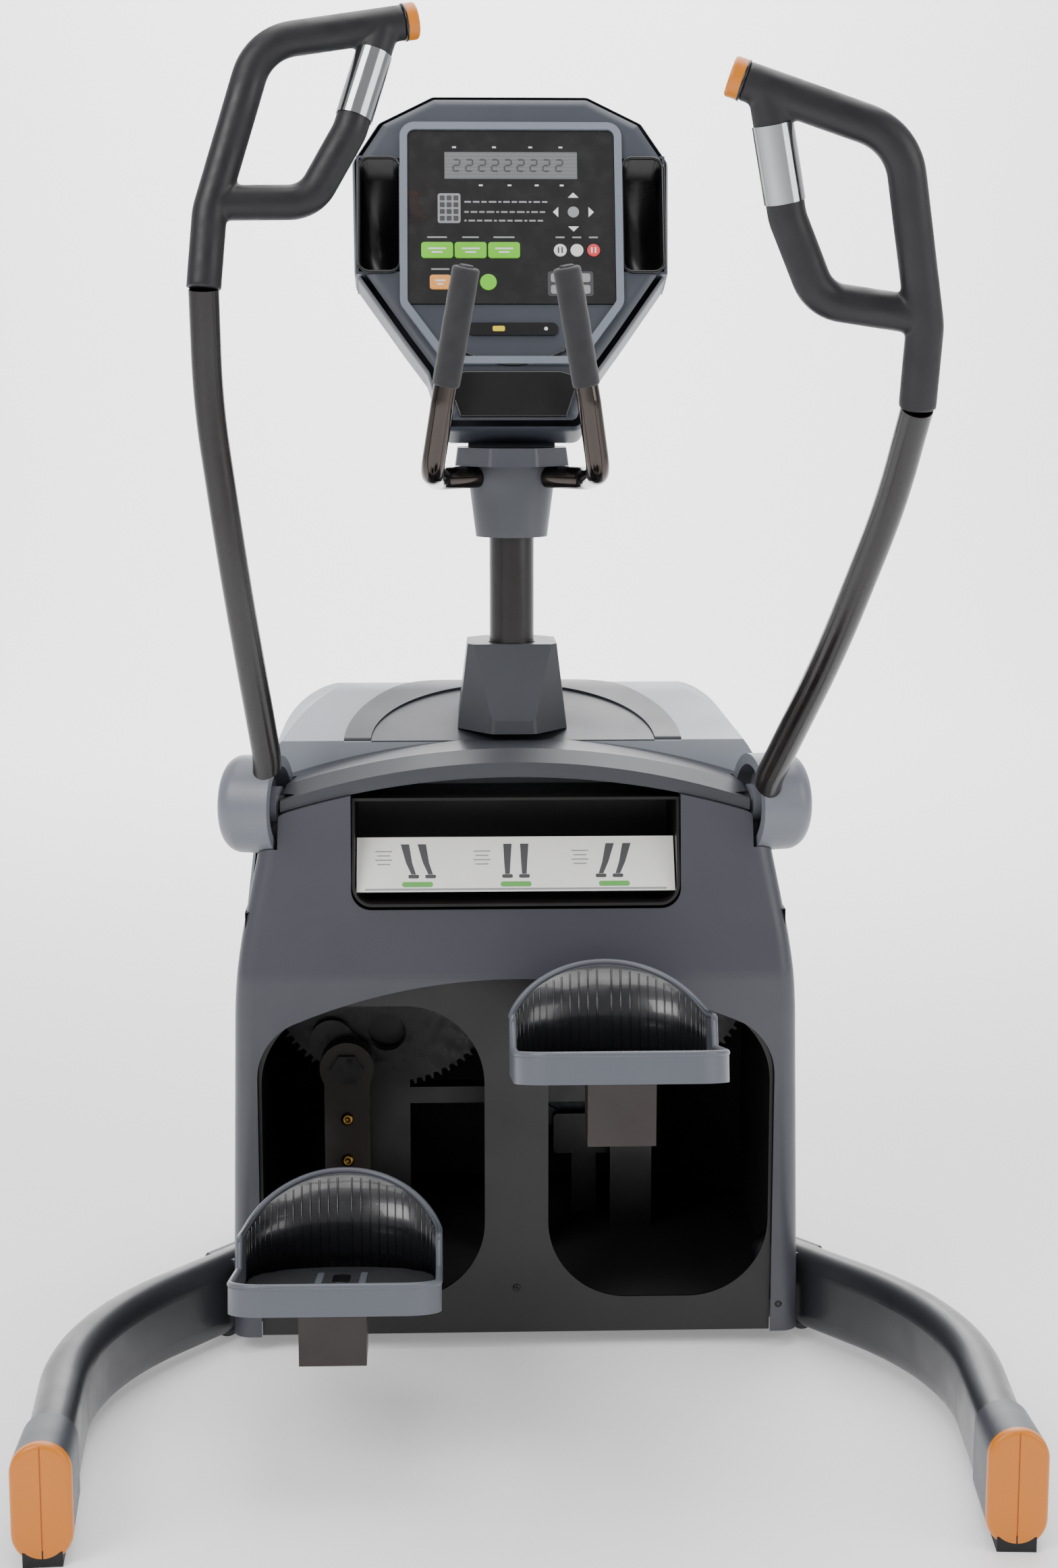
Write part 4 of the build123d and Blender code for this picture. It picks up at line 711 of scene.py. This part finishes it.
class TRAINER_OT_console_marks(bpy.types.Operator):
    """Print the console's marks, its key pads, display digits and the dark module below"""

    bl_idname = "trainer.console_marks"
    bl_label = "Console details"

    film: FloatProperty(name="Film", description="Top of the film above the face, in millimetres",
                        default=2.0)

    def mark(self, name, outlines, material, low=0.0, high=0.25, body="frame"):
        """Several flat outlines of one colour as one piece."""
        base = self.film
        parts = [prism(outline, base + low, base + high, on_console) for outline in outlines]
        return link_piece(name, mesh_of(name, *joined(parts)), materials[material], body, smooth=False)

    def execute(self, context):
        ticks = [oblong(x, 383, 5, 2.2) for x in (-75, -22, 26, 66)]
        ticks += [oblong(x, 330, 5, 2.2) for x in (-40, -2, 34, 67)]
        self.mark("console_ticks", ticks, "white_ink")
        self.text_rows()
        self.key_pads()
        self.display()
        self.key_symbols()
        self.lower_module()
        self.holders()
        return {"FINISHED"}

    def text_rows(self):
        """Rows of short strokes that stand for small lettering."""
        strokes = []
        for row, up in enumerate((307, 293, 281)):
            x = -62
            while x < 44:
                width = 3 + (x * 7 + row * 13) % 8
                strokes.append(oblong(x + width / 2, up, width, 2.4, 0.8))
                x += width + 2.4
        for x, width in ((-98, 26), (-54, 22), (-10, 28), (64, 12), (86, 12), (108, 12), (-94, 24)):
            strokes.append(oblong(x, 258 if x != -94 else 214, width, 2.2, 0.8))
        self.mark("console_lettering", strokes, "grey_ink")

    def key_pads(self):
        """The small grey pad on the left, the arrows and the four-key pad on the right."""
        self.mark("number_pad", [oblong(-82, 298, 30, 41, 3)], "grey_ink", 0, 0.6)
        keys = [oblong(-91 + 9 * i, 284 + 9.4 * j, 6.4, 6.4, 1) for i in range(3) for j in range(4)]
        self.mark("number_keys", keys, "dark_ink", 0.6, 1.1)
        middle_x, middle_y = 82, 293
        tip, foot, wide = 27, 20, 7
        arrows = []
        for x, y in ((0, 1), (1, 0), (0, -1), (-1, 0)):
            foot_x, foot_y = middle_x + foot * x, middle_y + foot * y
            arrows.append([(middle_x + tip * x, middle_y + tip * y), (foot_x - wide * y, foot_y + wide * x),
                           (foot_x + wide * y, foot_y - wide * x)])
        self.mark("arrow_keys", arrows, "white_ink", 0, 0.5)
        self.mark("arrow_ring", [oblong(middle_x, middle_y, 15, 15, 7.5)], "grey_ink", 0, 0.8)
        self.mark("four_pad", [oblong(77, 194, 60, 34, 4)], "dark_ink", 0, 0.5)
        pads = [oblong(63 + 28 * i, 186 + 16 * j, 24, 12, 3) for i in range(2) for j in range(2)]
        self.mark("four_keys", pads, "grey_ink", 0.5, 1.2)

    def display(self):
        """Dark digits on the grey display."""
        strokes = ((0, 8, 7, 1.8), (0, 0, 7, 1.8), (0, -8, 7, 1.8), (4.4, 4, 1.8, 7), (-4.4, -4, 1.8, 7))
        first, pitch, window_up = -72, 17, 358
        digits = []
        for k in range(9):
            for x, y, width, height in strokes:
                digits.append(oblong(first + pitch * k + x, window_up + y, width, height, 0.7))
        self.mark("display_digits", digits, "dark_ink", -0.45, -0.2)

    def key_symbols(self):
        """A white stroke on each coloured key."""
        key_top, ink_top, row_up = 1.55, 1.75, 240
        for name, (x, y, width) in {"quick_key_1": (-98, row_up, 24), "quick_key_2": (-54, row_up, 24),
                                    "quick_key_3": (-10, row_up, 24), "menu_key": (-94, 196, 14)}.items():
            bars = [oblong(x, y + 2, width, 2.4, 1), oblong(x, y - 3, width * 0.6, 2.4, 1)]
            self.mark(f"{name}_symbol", bars, "white_ink", key_top, ink_top, name)
        for name, x, ink in (("pause_key", 64, "dark_ink"), ("stop_key", 108, "white_ink")):
            bars = [oblong(x - 2.4, row_up, 2, 8), oblong(x + 2.4, row_up, 2, 8)]
            self.mark(f"{name}_symbol", bars, ink, key_top, ink_top, name)

    def lower_module(self):
        """The ledge under the panel: its slot, its yellow contact, a lamp and the dark block below."""
        slot_up, slot_top = 132, 1.4
        self.mark("console_slot", [oblong(0, slot_up, 120, 17, 8)], "black_plastic", -2, slot_top)
        self.mark("slot_contact", [oblong(-18, slot_up, 16, 7, 2)], "yellow", slot_top, 2.4)
        self.mark("slot_lamp", [oblong(44, slot_up, 5, 5, 2.5)], "white_ink", slot_top, 1.9)
        arc = [(-70 + 140 * k / 20, 104 - 20 * (1 - ((k - 10) / 10) ** 2)) for k in range(21)]
        groove = swept([on_console(x, y, 2.2) for x, y in arc], 1.9, 10)
        mesh = mesh_of("console_groove", *groove)
        link_piece("console_groove", mesh, materials["black_plastic"], "frame")
        block = [(-70, 12), (70, 12), (88, 66), (62, 74), (-62, 74), (-88, 66)]
        soften(self.mark("console_lower_block", [block], "black_plastic", -2, 5), 2.5)

    def holders(self):
        """A black liner in each bottle holder, with a rolled lip."""
        holder_x, holder_up, depth = 174, 290, 71
        for side, sign in SIDES.items():
            outline = oblong(sign * holder_x, holder_up, 55, 158, 14)
            lip = swept([on_console(x, y, 0.8) for x, y in [*outline, outline[0], outline[1]]], 2.4, 10)
            mesh = mesh_of("holder_lip", *lip)
            link_piece(f"holder_lip_{side}", mesh, materials["black_plastic"], "frame")
            inner = oblong(sign * holder_x, holder_up, 53.5, 156.5, 12)
            count = len(inner)
            verts = [on_console(x, y, 0.5) for x, y in inner] + [on_console(x, y, -depth) for x, y in inner]
            faces = [(k, (k + 1) % count, (k + 1) % count + count, k + count) for k in range(count)]
            faces.append(tuple(range(count, 2 * count)))
            liner = link_piece(f"holder_liner_{side}", mesh_of("holder_liner", verts, faces),
                               materials["black_plastic"], "frame")
            sheet = liner.modifiers.new("sheet", "SOLIDIFY")
            sheet.thickness, sheet.offset = 0.6 * MM, 0


class TRAINER_OT_placard_print(bpy.types.Operator):
    """Print the placard in the recess: three plain figures of a stride and their green tags"""

    bl_idname = "trainer.placard_print"
    bl_label = "Placard print"

    lean: FloatProperty(name="Lean", description="Lean of the placard, in degrees", default=32)
    sheet: FloatProperty(name="Sheet", description="Thickness of the placard, in millimetres", default=1.5)

    def execute(self, context):
        low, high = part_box("placard")
        tilt = radians(self.lean)
        start = Vector((0, low.y / MM, low.z / MM + self.sheet * sin(tilt)))
        up_line, out_line = Vector((0, sin(tilt), cos(tilt))), Vector((0, -cos(tilt), sin(tilt)))

        def place(x, y, z):
            """A point on the sheet, from across, up and proud."""
            return start + Vector((x, 0, 0)) + up_line * y + out_line * z

        hip, knee, ankle = 66, 40, 24
        legs, tags, lines = [], [], []
        for x, lean in ((-128, -6), (0, 0), (128, 6)):
            for leg_x in (x - 11, x + 11):
                thigh = [(leg_x - 5 + lean, hip), (leg_x + 6 + lean, hip),
                         (leg_x + 4, knee), (leg_x - 4, knee)]
                shin = [(leg_x - 4, knee), (leg_x + 4, knee),
                        (leg_x + 3 - lean, ankle), (leg_x - 3 - lean, ankle)]
                shoe = oblong(leg_x - lean, 21, 14, 5, 2)
                legs += [thigh, shin, shoe]
            tags.append(oblong(x, 10, 40, 7, 3))
            lines += [oblong(x - 44, 56 - 6 * row, 22 - 5 * (row % 2), 1.6) for row in range(4)]
        lines.append(oblong(0, 3.2, 392, 2.6))
        prints = (("placard_figures", legs, "dark_ink"), ("placard_tags", tags, "green_ink"),
                  ("placard_lines", lines, "grey_ink"))
        for name, outlines, ink in prints:
            mesh = mesh_of(name, *joined([prism(outline, 0.05, 0.3, place) for outline in outlines]))
            link_piece(name, mesh, materials[ink], "frame", smooth=False)
        return {"FINISHED"}


class TRAINER_OT_painted_shade_sheet(bpy.types.Operator):
    """Line the housing in black behind the drive: a black sheet of painted shade, so that the ports look into
    the dark
    """

    bl_idname = "trainer.lining"
    bl_label = "Black lining"

    half_width: FloatProperty(name="Half width", description="Half the lining's width, in millimetres",
                              default=352)
    front: FloatProperty(name="Front", description="Place of the lining's front wall", default=560)
    roof_end: FloatProperty(name="Roof end", description="Where the roof ends, clear of the linkage",
                            default=190)

    def execute(self, context):
        low, high, rear = 61.5, 596, 14
        side, nose = self.half_width, self.half_width - 112
        plan = [(-side, rear), (-side, self.roof_end), (-side, self.front - 90), (-nose, self.front),
                (nose, self.front), (side, self.front - 90), (side, self.roof_end), (side, rear)]
        count = len(plan)
        verts = [(x, y, z) for z in (low, high) for x, y in plan]
        faces = [(k, k + 1, k + 1 + count, k + count) for k in range(count - 1)]
        faces += [tuple(range(count)), (count, count + 1, 2 * count - 2, 2 * count - 1)]
        # This black sheet is painted shade: it darkens the inside of the housing, seen through the ports
        lining = link_piece("housing_painted_shade_sheet", mesh_of("housing_painted_shade_sheet", verts, faces), materials["lining"],
                            "frame", smooth=False)
        sheet = lining.modifiers.new("sheet", "SOLIDIFY")
        sheet.thickness, sheet.offset = 1.0 * MM, 1
        return {"FINISHED"}


class TRAINER_OT_fixings(bpy.types.Operator):
    """Set the screws and bolts that show"""

    bl_idname = "trainer.fixings"
    bl_label = "Screws and bolts"

    def head(self, name, centre, line, radius, body, material):
        """A domed screw head with a round recess."""
        profile = [(-1, radius), (radius * 0.25, radius), (radius * 0.5, radius * 0.86),
                   (radius * 0.62, radius * 0.6), (radius * 0.62, radius * 0.42),
                   (radius * 0.2, radius * 0.38)]
        link_piece(name, mesh_of(name, *turned(profile, centre, line, 28)), materials[material], body)

    def execute(self, context):
        hub_line = Vector((cos(radians(HUB_YAW)), sin(radians(HUB_YAW)), 0))
        down, rearward = (0, 0, -1), (0, -1, 0)
        bolt, screw = 9, 5
        hub_end, post_x, post_drop, post_half, link_face = 41.5, 8, 50, 27.6, 227
        for side, sign in SIDES.items():
            flip = Vector((sign, 1, 1))
            cap = (HUB + hub_line * hub_end) * flip
            body = f"pedal_{side}"
            self.head(f"hub_bolt_{side}", cap, hub_line * flip, bolt, f"handlebar_{side}", "machined_steel")
            x = PEDAL_MIDDLES[side].x + post_x * sign
            y = PEDAL_MIDDLES[side].y
            z = PEDAL_MIDDLES[side].z - post_drop
            self.head(f"post_bolt_{side}", (x, y, z - post_half), down, bolt, body, "chrome")
            self.head(f"link_bolt_low_{side}", (x, link_face, z + 60), rearward, bolt, body, "brass")
            self.head(f"link_bolt_mid_{side}", (x, link_face, z + 120), rearward, bolt, body, "brass")
            for k, height in enumerate((60, 210, 340)):
                place = (sign * 349, 1.2, height)
                self.head(f"panel_screw_{side}_{k}", place, rearward, screw, "frame", "machined_steel")
        for k, height in enumerate((84, 452)):
            self.head(f"panel_screw_mid_{k}", (0, 8.4, height), rearward, screw, "frame", "machined_steel")
        return {"FINISHED"}


class TRAINER_OT_stage(bpy.types.Operator):
    """Set the pale sweep, the soft lights and the camera"""

    bl_idname = "trainer.stage"
    bl_label = "Stage"

    camera_x: FloatProperty(name="Camera across", description="Camera place across", default=-0.093,
                            unit="LENGTH")
    camera_y: FloatProperty(name="Camera back", description="Camera place behind", default=-3.2,
                            unit="LENGTH")
    camera_z: FloatProperty(name="Camera height", description="Camera height", default=1.3,
                            unit="LENGTH")
    yaw: FloatProperty(name="Yaw", description="Turn towards the right, in degrees", default=1.954)
    pitch: FloatProperty(name="Pitch", description="Tilt down, in degrees", default=9.479)
    lens: FloatProperty(name="Lens", description="Focal length, in millimetres", default=58.01)
    sweep_glow: FloatProperty(name="Sweep glow", description="Light that the paper itself gives off",
                              default=0.26)

    def execute(self, context):
        self.sweep()
        self.light("key_softbox", (-2.6, -2.6, 3.4), 2.4, 130)
        self.light("fill_softbox", (3.4, -2.0, 2.2), 2.6, 62)
        self.light("top_softbox", (0.2, 0.6, 4.2), 3.0, 120)
        self.light("back_softbox", (1.2, 3.0, 3.2), 2.0, 60)
        self.light("wall_wash", (0, 4.6, 5.4), 4.0, 900, (0, 9, 2.4))
        world = bpy.data.worlds.new("studio")
        world.use_nodes = True
        world.node_tree.nodes["Background"].inputs["Color"].default_value = linear("#ffffff")
        world.node_tree.nodes["Background"].inputs["Strength"].default_value = 0.5
        context.scene.world = world
        camera = bpy.data.objects.new("camera", bpy.data.cameras.new("camera"))
        context.scene.collection.objects.link(camera)
        camera.data.lens = self.lens
        camera.location = (self.camera_x, self.camera_y, self.camera_z)
        camera.rotation_euler = (radians(90 - self.pitch), 0, radians(-self.yaw))
        context.scene.camera = camera
        return {"FINISHED"}

    def sweep(self):
        """A floor that curves up into a wall, far enough away to show no edge."""
        profile = [(-30, 0), (6, 0)]
        profile += [(6 + 3 * sin(radians(a)), 3 - 3 * cos(radians(a))) for a in range(6, 91, 6)]
        profile.append((9, 22))
        verts, faces = [], []
        for y, z in profile:
            verts += [(-30, y, z), (30, y, z)]
        for k in range(len(profile) - 1):
            faces.append((2 * k, 2 * k + 1, 2 * k + 3, 2 * k + 2))
        mesh = bpy.data.meshes.new("sweep")
        mesh.from_pydata(verts, [], faces)
        floor = bpy.data.objects.new("sweep", mesh)
        bpy.context.scene.collection.objects.link(floor)
        material, tree, shader, place = begin("paper_matt_sweep")
        tint = mottle(tree, place, linear("#f4f4f5"), 0.01, 900)
        tree.links.new(tint.outputs[2], shader.inputs["Base Color"])
        tree.links.new(roughness_drift(tree, place, 0.7, 0.8, 600), shader.inputs["Roughness"])
        shader.inputs["Emission Color"].default_value = linear("#ffffff")
        shader.inputs["Emission Strength"].default_value = self.sweep_glow
        mesh.materials.append(material)
        for face in mesh.polygons:
            face.use_smooth = True

    def light(self, name, place, size, power, target=(0, 0, 0.8)):
        """A square softbox that points at the machine's middle, or at another target."""
        lamp = bpy.data.lights.new(name, "AREA")
        lamp.shape, lamp.size, lamp.energy = "SQUARE", size, power
        holder = bpy.data.objects.new(name, lamp)
        bpy.context.scene.collection.objects.link(holder)
        holder.location = place
        holder.rotation_euler = (Vector(target) - Vector(place)).to_track_quat("-Z", "Y").to_euler()


class TRAINER_PT_sidebar(bpy.types.Panel):
    """Everything that builds the trainer's looks"""

    bl_label = "Elliptical Trainer"
    bl_idname = "TRAINER_PT_sidebar"
    bl_space_type = "VIEW_3D"
    bl_region_type = "UI"
    bl_category = "Trainer"

    def draw(self, context):
        for group in (context.scene.trainer_colours, context.scene.trainer_sizes):
            box = self.layout.box()
            for name in group.__annotations__:
                box.prop(group, name)
        for step in STEPS:
            self.layout.operator(step.bl_idname)


STEPS = (TRAINER_OT_finishes, TRAINER_OT_handle_grips, TRAINER_OT_foam_grips, TRAINER_OT_pedals,
         TRAINER_OT_console_marks, TRAINER_OT_placard_print, TRAINER_OT_painted_shade_sheet, TRAINER_OT_fixings,
         TRAINER_OT_stage)
CLASSES = (TrainerColours, TrainerSizes, *STEPS, TRAINER_PT_sidebar)


def register():
    for cls in CLASSES:
        bpy.utils.register_class(cls)
    bpy.types.Scene.trainer_colours = PointerProperty(type=TrainerColours)
    bpy.types.Scene.trainer_sizes = PointerProperty(type=TrainerSizes)


def unregister():
    del bpy.types.Scene.trainer_sizes
    del bpy.types.Scene.trainer_colours
    for cls in reversed(CLASSES):
        bpy.utils.unregister_class(cls)


def main():
    register()
    for step in STEPS:
        group, name = step.bl_idname.split(".")
        getattr(getattr(bpy.ops, group), name)()


if __name__ == "__main__":
    main()
